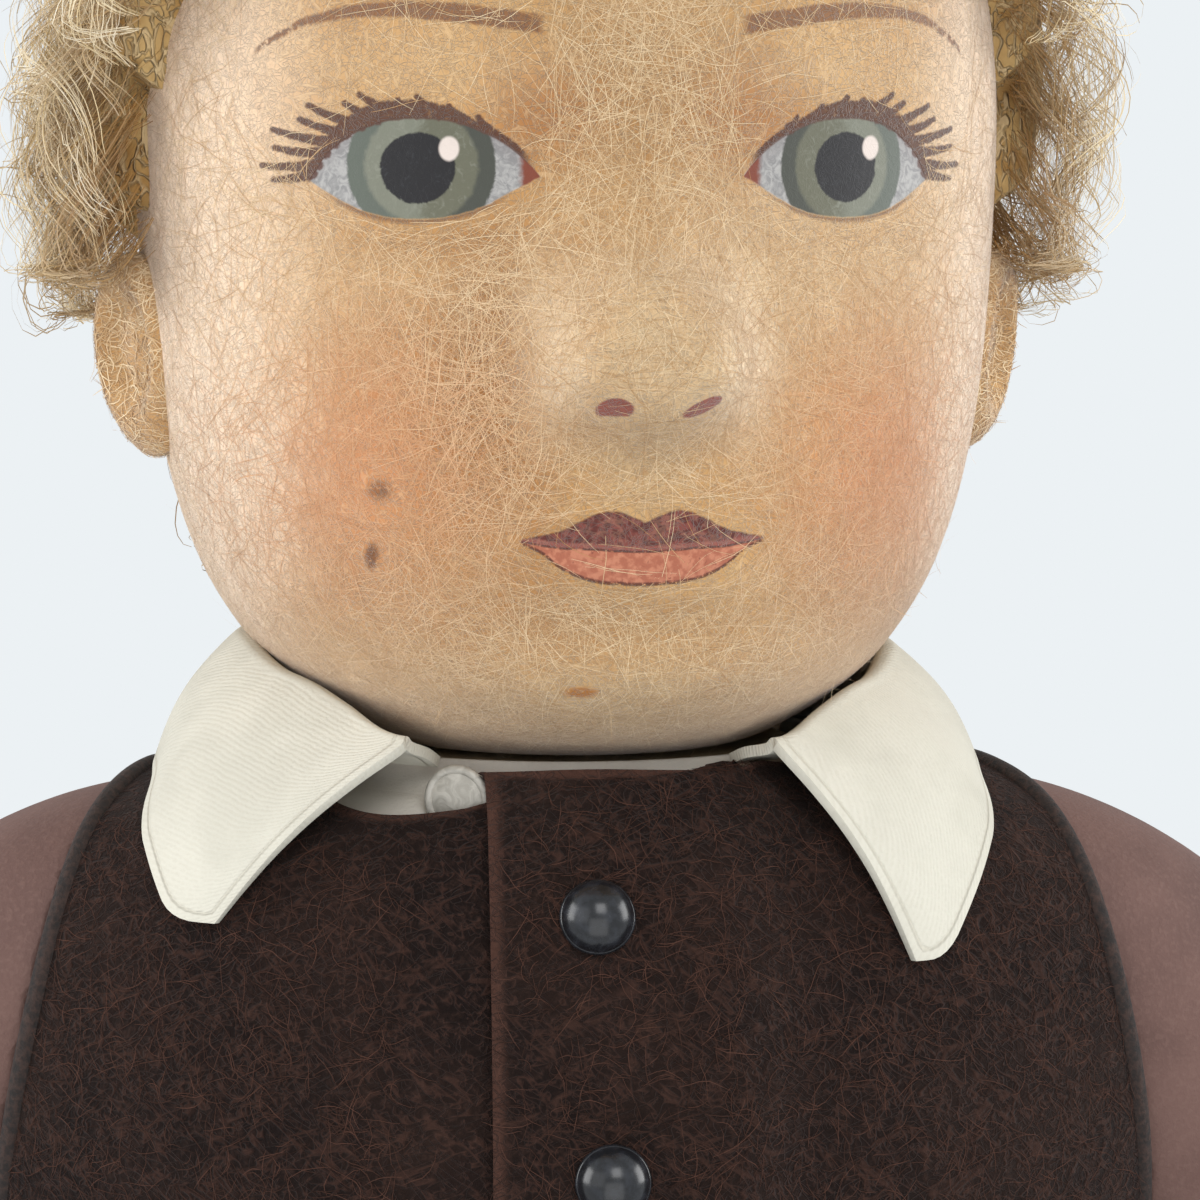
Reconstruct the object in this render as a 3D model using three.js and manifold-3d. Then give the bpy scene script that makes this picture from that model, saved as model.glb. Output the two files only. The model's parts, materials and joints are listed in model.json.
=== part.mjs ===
// A jointed felt boy doll in a felt jacket with a white collar.
// Millimetres, +Z up. The doll faces -Y and its left arm is on +X.
// It stands on z = 0 with its bounding box centred over the origin.

import * as THREE from "three";
import { mergeVertices } from "three/addons/utils/BufferGeometryUtils.js";
import Module from "manifold-3d";

const wasm = await Module();
wasm.setup();

// Driving dimensions
const FIT = 0.3; // clearance between pieces that touch
const FELT = 1.6; // thickness of the garment felt
const CLOTH = 0.7; // thickness of the sleeve and shirt cloth

const NECK_Z = 338; // plane between head and body
const HEAD_TURN = 5; // degrees towards the doll's left
const HEAD_WIDTH = 75.4;
const HEAD_HEIGHT = 100;
const HEAD_ROOM = 90; // half side of the blocks that trim the head
const MASK_WALL = 3.2; // pressed felt on its buckram backing
const MASK_SEAM_Y = 8; // coronal seam between mask and head back
const HAIR_THICKNESS = 9.5;
const WIG_GAP = 2; // under the wig, whose inside is coarser than the head
const HAIR_LOW_Z = 17; // nape, above the neck plane
const HAIRLINE_Z = 82;
const NAPE_Y = 24; // below the ears, hair only grows behind this
const EAR_HEIGHT = 18;
const EAR_DEPTH = 12;
const EAR_THICKNESS = 5;
const EAR_Z = 34;
const EAR_OUT = 38.4;

const BODY_LOW_Z = 230.6; // shelf above the thighs
const CHEST_WIDTH = 104;
const WAIST_WIDTH = 82;
const NECK_RADIUS = 22;
const CROTCH_Z = 182;
const CROTCH_WIDTH = 20;
const CROTCH_DEPTH = 46;

const SHOULDER_X = 45;
const SHOULDER_Z = 309.5;
const SHOULDER_RISE = 12; // degrees the joint axis points up
const SHOULDER_SWEEP = 15; // degrees the joint axis points back
const ARMHOLE_UP = 24.6; // half height of the shoulder cap
const ARMHOLE_DEEP = 20.8; // half depth of the shoulder cap
const ARMHOLE_BACK = 3.4; // how far its middle lies behind the joint axis
const SHOULDER_CAP = 20; // how far the shoulder stands out
const ARM_REST = 8; // degrees the arm hangs forward
const ARM_LENGTH = 92; // shoulder axis to wrist
const ELBOW_BEND = 9; // how far the wrist comes forward
const UPPER_ARM_RADIUS = 12.6;
const WRIST_RADIUS = 8.2;
const HAND_LENGTH = 28;
const HAND_WIDTH = 17;
const HAND_THICKNESS = 9;
const SLEEVE_LENGTH = 88;

const HIP_Z = 205;
const LEG_X = 29.4;
const THIGH_TOP_RADIUS = 20.2;
const THIGH_CAP = 31; // how far the hip stands out from its plane
const THIGH_RADIUS = 17;
const KNEE_RADIUS = 13.2;
const CALF_RADIUS = 13.2;
const ANKLE_RADIUS = 9.4;
const KNEE_Z = 112;
const CALF_Z = 84;
const ANKLE_Z = 34;
const TROUSER_HEM_Z = 108;
const TROUSER_FLARE = 2.4; // how far the hem stands off the leg
const SOCK_TOP_Z = 74;
const SHOE_LENGTH = 54;
const SHOE_WIDTH = 28;
const SHOE_TOP_Z = 30;
const HEEL_BACK_Y = 15.4;
const SOLE = 3.2;
const SOLE_LIP = 1.2; // the sole shows round the upper
const SHOE_LEATHER_WALL = 1.6;
const SOCK_WALL = 0.8;
const FOOT_HALF_HEIGHT = 7.8;
const TOE_HALF_HEIGHT = 14.5;

const COLLAR_FOLD_RADIUS = 32.4;
const COLLAR_FOLD_RISE = 3.2; // above the neck plane, clear of the turning jaw
const COLLAR_FRONT_RISE = 2.4; // of the fold beside the front opening
const COLLAR_OPENING = 33; // degrees each side of the front
const COLLAR_STAND_HEIGHT = 2.4;
const COLLAR_POINT_X = 31;
const COLLAR_POINT_Z = 323;
const COLLAR_CLOTH = 0.8;
const COLLAR_OFF = 0.6; // gap to the jacket below it
const COLLAR_SIDE_Z = 333.4; // where its edge crosses the shoulder
const COLLAR_BACK_DROP = 8; // of its edge below the neck plane at the back

const JACKET_HEM_Z = 236;
const JACKET_NECK_Z = 336.2;
const JACKET_NECK_SIDE = 2.6; // how much lower the neckline is at the sides
const JACKET_NECK_DIP = 5.4; // the covered front is cut lower beside the lap
const SKIRT_FLARE = 2.4; // room for the trousers under the jacket
const SKIRT_TOP = 19; // where the flare begins, above the hem
const SKIRT_RUN = 14; // height over which it opens
const WAISTBAND = 11; // how far the trousers reach up under the jacket
const SHIRT_LOW_Z = 282;
const LAP_X = 9; // how far the lapping front passes the middle
const LAP_LEVEL_Z = 300; // where that is measured
const JACKET_BUTTON_RADIUS = 3.2;
const JACKET_BUTTON_HEIGHT = 3.4;
const JACKET_BUTTONS = 4;
const TOP_BUTTON_Z = 326.3;
const BUTTON_PITCH = 21.4;
const SHIRT_BUTTON_RADIUS = 3;
const SHIRT_BUTTON_X = -11;
const PIPING_RADIUS = 0.9;

const LIMB_SIDES = 10;
const LAYER_TURN = 18; // degrees between the columns that all layers on the body share
const LAYER_RISE = 0.1; // share of the body between the rows that all layers share

const DISC_RADIUS = 12;
const DISC_THICKNESS = 2;
const DISC_SIDES = 10;
const DISC_WALL = 2.4; // stuffed felt between a disc and its joint plane
const PIN_RADIUS = 1.2;
const PIN_END_RADIUS = 4.2;
const PIN_WIRE = 0.8;
const PIN_EYE = 1.5; // mid radius of the eye
const PIN_END_LENGTH = 5;

const SKIN = { color: 0xd9bd95, roughness: 0.95 };
const BROWN_FELT = { color: 0x3b2b27, roughness: 0.95 };
const MAUVE_CLOTH = { color: 0x7d645e, roughness: 0.75 };
const WHITE_COTTON = { color: 0xe9e6d8, roughness: 0.9 };
const MOHAIR = { color: 0xd8cba4, roughness: 0.8 };
const WOOD_WOOL = { color: 0xc9b27c, roughness: 1 };
const HARDBOARD = { color: 0x7a5a3c, roughness: 0.9 };
const STEEL = { color: 0x9a9ba0, roughness: 0.4, metalness: 1 };
const BLACK_BUTTON = { color: 0x16171a, roughness: 0.25 };
const SHELL_BUTTON = { color: 0xdcd7c8, roughness: 0.3 };
const SHOE_LEATHER = { color: 0x2a1c16, roughness: 0.5 };
const SOLE_LEATHER = { color: 0x8a6242, roughness: 0.7 };

// Small maths

const radians = (degrees) => (degrees * Math.PI) / 180;
const bell = (distance, spread) => Math.exp(-0.5 * (distance / spread) ** 2);
const mix = (a, b, t) => a + (b - a) * t;
const ease = (t) => {
  const k = Math.min(Math.max(t, 0), 1);
  return k * k * (3 - 2 * k);
};

// A smooth curve through rows of numbers, read at t from 0 to 1.
function throughRows(rows) {
  const last = rows.length - 1;
  return (t) => {
    const place = Math.min(Math.max(t, 0), 1) * last;
    const i = Math.min(Math.floor(place), last - 1);
    const k = place - i;
    const before = rows[Math.max(i - 1, 0)];
    const after = rows[Math.min(i + 2, last)];
    return rows[i].map((a, c) => {
      const b = rows[i + 1][c];
      const slopeA = (b - before[c]) / 2;
      const slopeB = (after[c] - a) / 2;
      const k2 = k * k;
      const k3 = k2 * k;
      return (2 * k3 - 3 * k2 + 1) * a + (k3 - 2 * k2 + k) * slopeA
        + (3 * k2 - 2 * k3) * b + (k3 - k2) * slopeB;
    });
  };
}

// The t at which a curve through rows reaches height z.
function tAtHeight(curve, z) {
  let low = 0;
  let high = 1;
  for (let step = 0; step < 40; step += 1) {
    const middle = (low + high) / 2;
    if (curve(middle)[0] < z) low = middle;
    else high = middle;
  }
  return (low + high) / 2;
}

// A surface moved out along its own normal.
function offsetSurface(surface, distance) {
  const d = 1e-3;
  return (t, angle) => {
    const along = surface(Math.min(t + d, 1), angle).sub(surface(Math.max(t - d, 0), angle));
    const round = surface(t, angle + d).sub(surface(t, angle - d));
    const out = typeof distance === "function" ? distance(t, angle) : distance;
    return surface(t, angle).addScaledVector(round.cross(along).normalize(), out);
  };
}

// Solids

function makeSolid(points, triangles) {
  const geometry = new THREE.BufferGeometry();
  const flat = points.flatMap((p) => [p.x, p.y, p.z]);
  geometry.setAttribute("position", new THREE.Float32BufferAttribute(flat, 3));
  geometry.setIndex(triangles);
  return solidOf(geometry);
}

// A closed geometry as a solid, turned right side out.
function solidOf(geometry) {
  const plain = geometry.index ? geometry.toNonIndexed() : geometry.clone();
  plain.deleteAttribute("normal");
  plain.deleteAttribute("uv");
  const merged = mergeVertices(plain, 1e-4);
  const vertProperties = Float32Array.from(merged.attributes.position.array);
  const triVerts = Uint32Array.from(merged.index.array);
  const solid = new wasm.Manifold(new wasm.Mesh({ numProp: 3, vertProperties, triVerts }));
  if (solid.volume() > 0) return solid;
  triVerts.reverse();
  return new wasm.Manifold(new wasm.Mesh({ numProp: 3, vertProperties, triVerts }));
}

// The largest of the bodies that a cut leaves.
function mainBody(solid) {
  const parts = solid.decompose();
  return parts.reduce((a, b) => (a.volume() > b.volume() ? a : b));
}

function geometryOf(solid) {
  const mesh = solid.getMesh();
  const geometry = new THREE.BufferGeometry();
  const points = Float32Array.from(mesh.vertProperties);
  geometry.setAttribute("position", new THREE.BufferAttribute(points, 3));
  geometry.setIndex(new THREE.BufferAttribute(Uint32Array.from(mesh.triVerts), 1));
  return geometry;
}

// Rings of points stacked into a closed body; the rings run anticlockwise seen from the end.
function loft(rings) {
  const count = rings[0].length;
  const points = rings.flat();
  const triangles = [];
  for (let i = 0; i + 1 < rings.length; i += 1) {
    for (let j = 0; j < count; j += 1) {
      const a = i * count + j;
      const b = i * count + ((j + 1) % count);
      triangles.push(a, b, b + count, a, b + count, a + count);
    }
  }
  const cap = (ring, start, turned) => {
    const middle = ring.reduce((sum, p) => sum.add(p), new THREE.Vector3());
    points.push(middle.divideScalar(count));
    for (let j = 0; j < count; j += 1) {
      const a = start + j;
      const b = start + ((j + 1) % count);
      if (turned) triangles.push(points.length - 1, b, a);
      else triangles.push(points.length - 1, a, b);
    }
  };
  cap(rings[0], 0, true);
  cap(rings[rings.length - 1], (rings.length - 1) * count, false);
  return makeSolid(points, triangles);
}

// A ring of cross-sections joined end to end.
function closedTube(path, normals, radius, sides) {
  const points = [];
  const triangles = [];
  path.forEach((p, i) => {
    const next = path[(i + 1) % path.length];
    const last = path[(i + path.length - 1) % path.length];
    const along = next.clone().sub(last).normalize();
    const up = normals[i].clone().addScaledVector(along, -normals[i].dot(along)).normalize();
    const side = along.clone().cross(up);
    for (let j = 0; j < sides; j += 1) {
      const turn = (2 * Math.PI * j) / sides;
      points.push(p.clone().addScaledVector(up, radius * Math.cos(turn))
        .addScaledVector(side, radius * Math.sin(turn)));
    }
  });
  for (let i = 0; i < path.length; i += 1) {
    for (let j = 0; j < sides; j += 1) {
      const a = i * sides + j;
      const b = i * sides + ((j + 1) % sides);
      const c = ((i + 1) % path.length) * sides;
      triangles.push(a, b, c + ((j + 1) % sides), a, c + ((j + 1) % sides), c + j);
    }
  }
  return makeSolid(points, triangles);
}

// A sheet with thickness between two grids of points that run the same way.
function thickSheet(inner, outer) {
  const rows = outer.length;
  const columns = outer[0].length;
  const points = [...outer.flat(), ...inner.flat()];
  const back = rows * columns;
  const triangles = [];
  const quad = (a, b, c, d) => triangles.push(a, b, c, a, c, d);
  for (let i = 0; i + 1 < rows; i += 1) {
    for (let j = 0; j + 1 < columns; j += 1) {
      const a = i * columns + j;
      quad(a, a + 1, a + columns + 1, a + columns);
      quad(back + a, back + a + columns, back + a + columns + 1, back + a + 1);
    }
  }
  for (let i = 0; i + 1 < rows; i += 1) {
    const a = i * columns;
    const b = a + columns - 1;
    quad(a, a + columns, back + a + columns, back + a);
    quad(b, back + b, back + b + columns, b + columns);
  }
  for (let j = 0; j + 1 < columns; j += 1) {
    const a = (rows - 1) * columns + j;
    quad(j, back + j, back + j + 1, j + 1);
    quad(a, a + 1, back + a + 1, back + a);
  }
  return makeSolid(points, triangles);
}

// A turned body on an axis: profile points are [radius, distance along the axis].
function turned(profile, origin, axis, sides) {
  const outline = profile.map(([r, h]) => new THREE.Vector2(r, h));
  const geometry = new THREE.LatheGeometry([...outline, outline[0].clone()], sides);
  const up = new THREE.Vector3(0, 1, 0);
  geometry.applyQuaternion(new THREE.Quaternion().setFromUnitVectors(up, axis));
  geometry.translate(origin.x, origin.y, origin.z);
  return solidOf(geometry);
}

function rod(radius, from, to, origin, axis, sides = 16) {
  return turned([[0, from], [radius, from], [radius, to], [0, to]], origin, axis, sides);
}

// An ellipsoid with its radii along x, y and z, or along three given directions.
function ball(radii, centre, columns = 16, rows = 10, directions = null) {
  const geometry = new THREE.SphereGeometry(1, columns, rows);
  geometry.rotateX(Math.PI / 2);
  geometry.scale(radii[0], radii[1], radii[2]);
  if (directions) geometry.applyMatrix4(new THREE.Matrix4().makeBasis(...directions));
  geometry.translate(centre.x, centre.y, centre.z);
  return solidOf(geometry);
}

function box(low, high) {
  const size = high.clone().sub(low);
  const geometry = new THREE.BoxGeometry(size.x, size.y, size.z);
  const middle = low.clone().add(high).divideScalar(2);
  geometry.translate(middle.x, middle.y, middle.z);
  return solidOf(geometry);
}

// Everything on the side of a plane that its normal points to.
function beyond(point, normal, distance) {
  const reach = 700;
  const geometry = new THREE.BoxGeometry(2 * reach, 2 * reach, reach);
  geometry.translate(0, 0, reach / 2 + distance);
  const up = new THREE.Vector3(0, 0, 1);
  geometry.applyQuaternion(new THREE.Quaternion().setFromUnitVectors(up, normal));
  geometry.translate(point.x, point.y, point.z);
  return solidOf(geometry);
}

const vec = (x, y, z) => new THREE.Vector3(x, y, z);
const UP = vec(0, 0, 1);
const sum = (solids) => wasm.Manifold.union(solids);

function mirrored(solid) {
  return solid.mirror([1, 0, 0]);
}

const bodies = {};
function piece(body, name, solid, material) {
  const made = new THREE.MeshStandardMaterial({ metalness: 0, ...material });
  const geometry = geometryOf(mainBody(solid));
  geometry.computeVertexNormals();
  const mesh = new THREE.Mesh(geometry, made);
  mesh.name = name;
  bodies[body].add(mesh);
}
for (const name of ["head", "torso", "arm_left", "arm_right", "leg_left", "leg_right"]) {
  bodies[name] = new THREE.Group();
  bodies[name].name = name;
}

// Sections of the head above the neck plane: height, half width, front and back of the neck axis.
const half = HEAD_WIDTH / 2;
const high = HEAD_HEIGHT / 100;
const HEAD_ROWS = [
  [0, 0.42 * half, 17.5, 16],
  [1.2 * high, 0.49 * half, 23, 19],
  [4.2 * high, 0.61 * half, 30, 22.5],
  [9 * high, 0.75 * half, 35, 27],
  [17 * high, 0.875 * half, 37.5, 33],
  [29 * high, 0.96 * half, 38.5, 39.5],
  [45 * high, half, 39, 43.5],
  [60 * high, half, 40, 44.5],
  [74 * high, 0.93 * half, 38.5, 42.5],
  [86 * high, 0.76 * half, 32.5, 35.5],
  [95 * high, 0.49 * half, 21.5, 24],
  [HEAD_HEIGHT, 0.16 * half, 7, 8],
];
const headCurve = throughRows(HEAD_ROWS);

function skull(t, angle) {
  const [z, width, front, back] = headCurve(t);
  const depth = Math.cos(angle) > 0 ? front : back;
  return vec(width * Math.sin(angle), -depth * Math.cos(angle), z);
}

// How far the moulded features stand out of the plain head, at x across and z up the face.
function relief(x, z) {
  const across = Math.abs(x);
  const nose = 5.4 * bell(x, 4.8) * bell(z - 35.4, 4.6)
    + 2.4 * bell(x, 4.2) * bell(z - 44, 5.5)
    + 1.6 * bell(across - 6.4, 2.6) * bell(z - 33.8, 3.4);
  const eyes = -1.9 * bell(across - 17, 7) * bell(z - 51, 5)
    + 0.9 * bell(across - 18.2, 6) * bell(z - 50.5, 3.6);
  const cheeks = 1.9 * bell(across - 20, 9) * bell(z - 25, 9);
  const mouth = 1.5 * bell(x, 9) * bell(z - 19.4, 6)
    - 0.9 * bell(x, 7) * bell(z - 13, 1.9);
  const chin = 1.3 * bell(x, 8) * bell(z - 7.6, 3.6);
  return nose + eyes + cheeks + mouth + chin;
}

function face(t, angle) {
  const plain = skull(t, angle);
  const facing = ease(Math.cos(angle) * 2.2);
  plain.y -= facing * relief(plain.x, plain.z / high);
  return plain;
}

// Angles round the head, closer together on the face.
function roundAngles(count, crowding) {
  return Array.from({ length: count }, (_, j) => {
    const turn = (2 * Math.PI * j) / count;
    return turn - crowding * Math.sin(turn);
  });
}

function ringsOf(surface, ts, angles) {
  return ts.map((t) => angles.map((angle) => surface(t, angle)));
}

const steps = (from, to, count) =>
  Array.from({ length: count + 1 }, (_, i) => mix(from, to, i / count));

// Cotter pin through a joint: a round eye at the low end, two spread legs at the top.
function cotterPin(origin, axis, reach, across) {
  const at = (along) => origin.clone().addScaledVector(axis, along);
  const eye = new THREE.TorusGeometry(PIN_EYE, PIN_WIRE, 5, 8);
  eye.applyMatrix4(new THREE.Matrix4().makeBasis(across, axis, across.clone().cross(axis)));
  const low = at(-reach - PIN_EYE);
  eye.translate(low.x, low.y, low.z);
  const leg = rod(PIN_WIRE, -PIN_END_RADIUS, PIN_END_RADIUS, at(reach + PIN_WIRE), across, 6);
  return sum([rod(PIN_RADIUS, -reach - 0.5, reach + PIN_WIRE, origin, axis, 8), solidOf(eye), leg]);
}

// The hollow that a joint needs in the stuffing on one side of its plane.
function jointHollow(origin, axis, way) {
  const wall = DISC_WALL;
  const disc = [wall - FIT, wall + DISC_THICKNESS + FIT];
  const end = [disc[1] - 0.1, disc[1] + PIN_END_LENGTH + 2 * FIT];
  const out = axis.clone().multiplyScalar(way);
  return sum([
    rod(DISC_RADIUS + FIT, disc[0], disc[1], origin, out, DISC_SIDES),
    rod(PIN_RADIUS + 2 * FIT, -1, end[1], origin, out, 6),
    rod(PIN_END_RADIUS + 3 * FIT, end[0], end[1], origin, out, 8),
  ]);
}

function jointDisc(origin, axis, way) {
  const out = axis.clone().multiplyScalar(way);
  return turned([
    [PIN_RADIUS + FIT, DISC_WALL],
    [DISC_RADIUS, DISC_WALL],
    [DISC_RADIUS, DISC_WALL + DISC_THICKNESS],
    [PIN_RADIUS + FIT, DISC_WALL + DISC_THICKNESS],
  ], origin, out, DISC_SIDES);
}

// From the joint plane to where the pin leaves the disc.
const PIN_REACH = DISC_WALL + DISC_THICKNESS + FIT + FIT + PIN_WIRE;

// Head
{
  const angles = roundAngles(32, 0.42);
  const coarse = roundAngles(12, 0);
  const outer = loft(ringsOf(face, steps(0, 1, 20), angles));
  const inside = (distance) => loft(ringsOf(offsetSurface(skull, -distance), steps(0.03, 1, 7), coarse));
  const lining = MASK_WALL + 1.4; // the lining bridges the eye hollows
  const origin = vec(0, 0, FIT / 2);
  const base = box(vec(-HEAD_ROOM, -HEAD_ROOM, -20), vec(HEAD_ROOM, HEAD_ROOM, FIT / 2));
  const opening = DISC_RADIUS + 1.5;
  const neckHole = rod(opening, -5, 10, vec(0, 0, 0), UP, DISC_SIDES);
  const wall = outer.subtract(inside(lining)).subtract(base).subtract(neckHole);
  const ahead = vec(0, -1, 0);
  const seam = vec(0, MASK_SEAM_Y, 0);
  piece("head", "face_mask", wall.intersect(beyond(seam, ahead, FIT / 2)), SKIN);
  piece("head", "head_back", wall.intersect(beyond(seam, vec(0, 1, 0), FIT / 2)), SKIN);
  const plug = rod(opening - FIT, FIT / 2, 12, vec(0, 0, 0), UP, DISC_SIDES);
  const lifted = box(vec(-HEAD_ROOM, -HEAD_ROOM, -20), vec(HEAD_ROOM, HEAD_ROOM, 7));
  const stuffing = inside(lining + 2 * FIT).subtract(lifted).add(plug);
  piece("head", "head_stuffing", stuffing.subtract(jointHollow(origin, UP, 1)), WOOD_WOOL);
  piece("head", "head_disc", jointDisc(origin, UP, 1), HARDBOARD);

  // The wig follows the skull and leaves the face open below the hairline.
  const shape = new THREE.Shape();
  const wide = half - 1.2;
  const turnZ = HAIRLINE_Z * 0.66;
  shape.moveTo(-wide, -30);
  shape.lineTo(wide, -30);
  shape.lineTo(wide, turnZ);
  shape.bezierCurveTo(wide, HAIRLINE_Z + 6, -wide, HAIRLINE_Z + 6, -wide, turnZ);
  const cut = new THREE.ExtrudeGeometry(shape, { depth: HEAD_ROOM, bevelEnabled: false, curveSegments: 8 });
  cut.rotateX(Math.PI / 2);
  cut.translate(0, -9, 0);
  const faceWindow = solidOf(cut);
  const overEars = EAR_Z + EAR_HEIGHT / 2 + 1;
  const byEars = box(vec(-HEAD_ROOM, -HEAD_ROOM, -50), vec(HEAD_ROOM, 6, overEars))
    .add(box(vec(-HEAD_ROOM, -HEAD_ROOM, -50), vec(HEAD_ROOM, NAPE_Y, overEars - 4)));
  const curls = (t, angle) => {
    const z = headCurve(t)[0];
    const wave = 1.7 * Math.sin(7 * angle + z / 4) + 1.3 * Math.sin(11 * angle - z / 5 + 2);
    return HAIR_THICKNESS + wave * ease((HEAD_HEIGHT - z) / 14);
  };
  const hairRing = roundAngles(30, 0);
  const over = (distance, low, levels, ring) => loft(ringsOf(offsetSurface(skull, distance),
    steps(tAtHeight(headCurve, low), 1, levels), ring));
  const scalp = over(WIG_GAP, HAIR_LOW_Z - 5, 7, roundAngles(16, 0));
  const hair = over(curls, HAIR_LOW_Z, 10, hairRing).subtract(scalp);
  piece("head", "wig", hair.subtract(faceWindow).subtract(byEars), MOHAIR);

  // Each ear is a padded felt oval with a hollow, standing out at its rear edge.
  const lobe = ball([EAR_THICKNESS / 2, EAR_DEPTH / 2, EAR_HEIGHT / 2], vec(0, 0, 0), 10, 7);
  const bowl = ball([2, EAR_DEPTH * 0.28, EAR_HEIGHT * 0.26], vec(2.4, -0.4, 0.8), 6, 5);
  const room = loft(ringsOf(offsetSurface(skull, FIT + 0.4), steps(0, 1, 12), roundAngles(24, 0)));
  const ear = lobe.subtract(bowl).rotate([0, 8, -30]).translate([EAR_OUT, -1.5, EAR_Z]);
  piece("head", "ear_left", ear.subtract(room), SKIN);
  piece("head", "ear_right", mirrored(ear).subtract(room), SKIN);
}
bodies.head.position.z = NECK_Z;
bodies.head.rotation.z = radians(HEAD_TURN);

// Sections of the stuffed body: height, half width, front and back of the middle.
const chest = CHEST_WIDTH / 2;
const waist = WAIST_WIDTH / 2;
const neckTop = NECK_Z - FIT / 2;
const BODY_ROWS = [
  [BODY_LOW_Z, 0.9 * waist, 30, 27],
  [BODY_LOW_Z + 12, waist, 34, 30.5],
  [BODY_LOW_Z + 33, waist, 34.5, 30],
  [BODY_LOW_Z + 57, 0.92 * chest, 34, 29.5],
  [BODY_LOW_Z + 76, chest, 33, 29],
  [BODY_LOW_Z + 90, 0.97 * chest, 30, 27.5],
  [NECK_Z - 9.5, 0.86 * chest, 27.4, 26],
  [NECK_Z - 5.5, 0.65 * chest, 24.8, 24.2],
  [NECK_Z - 3.2, NECK_RADIUS + 1.8, NECK_RADIUS + 1.2, NECK_RADIUS + 1.2],
  [neckTop, NECK_RADIUS, NECK_RADIUS, NECK_RADIUS],
];
const bodyCurve = throughRows(BODY_ROWS);
const bodyT = (z) => tAtHeight(bodyCurve, z);

function trunk(t, angle) {
  const [z, width, front, back] = bodyCurve(t);
  const depth = Math.cos(angle) > 0 ? front : back;
  return vec(width * Math.sin(angle), -depth * Math.cos(angle), z);
}

// Where the body surface, moved out by a distance, stands at x across and height z on the front.
function frontAt(x, z, distance) {
  const surface = offsetSurface(trunk, distance);
  let low = -Math.PI / 2;
  let top = Math.PI / 2;
  let t = bodyT(z);
  for (let pass = 0; pass < 4; pass += 1) {
    low = -Math.PI / 2;
    top = Math.PI / 2;
    for (let step = 0; step < 30; step += 1) {
      const middle = (low + top) / 2;
      if (surface(t, middle).x < x) low = middle;
      else top = middle;
    }
    t += (z - surface(t, low).z) * (bodyT(z + 0.5) - bodyT(z - 0.5));
    t = Math.min(Math.max(t, 0.001), 0.999);
  }
  return { t, angle: low, point: surface(t, low) };
}

// Shoulder joint: its axis points out, up and back, and the armhole lies in its plane.
const rise = radians(SHOULDER_RISE);
const sweep = radians(SHOULDER_SWEEP);
const shoulder = vec(SHOULDER_X, 0, SHOULDER_Z);
const shoulderAxis = vec(Math.cos(rise) * Math.cos(sweep), Math.cos(rise) * Math.sin(sweep), Math.sin(rise));
const shoulderUp = UP.clone().addScaledVector(shoulderAxis, -shoulderAxis.z).normalize();
const shoulderFront = shoulderAxis.clone().cross(shoulderUp);
const armSide = beyond(shoulder, shoulderAxis, -FIT / 2);
const armSides = armSide.add(mirrored(armSide));

const hip = vec(CROTCH_WIDTH / 2, 0, HIP_Z);
const ACROSS = vec(1, 0, 0);

// All layers on the body use the same heights and angles, so that they nest.
function between(from, to, pitch) {
  const values = [from];
  for (let i = Math.floor(from / pitch + 1e-6) + 1; i * pitch < to - 1e-4; i += 1) {
    values.push(i * pitch);
  }
  return [...values, to];
}

const layerTurn = radians(LAYER_TURN);
const bodyAngles = between(0, 2 * Math.PI, layerTurn).slice(0, -1);

// The crotch block between the legs, with a round underside.
function crotchBlock(grow, top) {
  const depth = CROTCH_DEPTH / 2 + grow;
  const shape = new THREE.Shape();
  const low = CROTCH_Z - grow;
  shape.moveTo(depth, top);
  shape.lineTo(-depth, top);
  shape.lineTo(-depth, low + 20);
  shape.bezierCurveTo(-depth, low + 5, -depth + 10, low, 0, low);
  shape.bezierCurveTo(depth - 10, low, depth, low + 5, depth, low + 20);
  const options = { depth: CROTCH_WIDTH - FIT, bevelEnabled: false, curveSegments: 6 };
  const geometry = new THREE.ExtrudeGeometry(shape, options);
  geometry.rotateX(Math.PI / 2);
  geometry.rotateZ(Math.PI / 2);
  geometry.translate(-(CROTCH_WIDTH - FIT) / 2, 0, 0);
  return solidOf(geometry);
}

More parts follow.
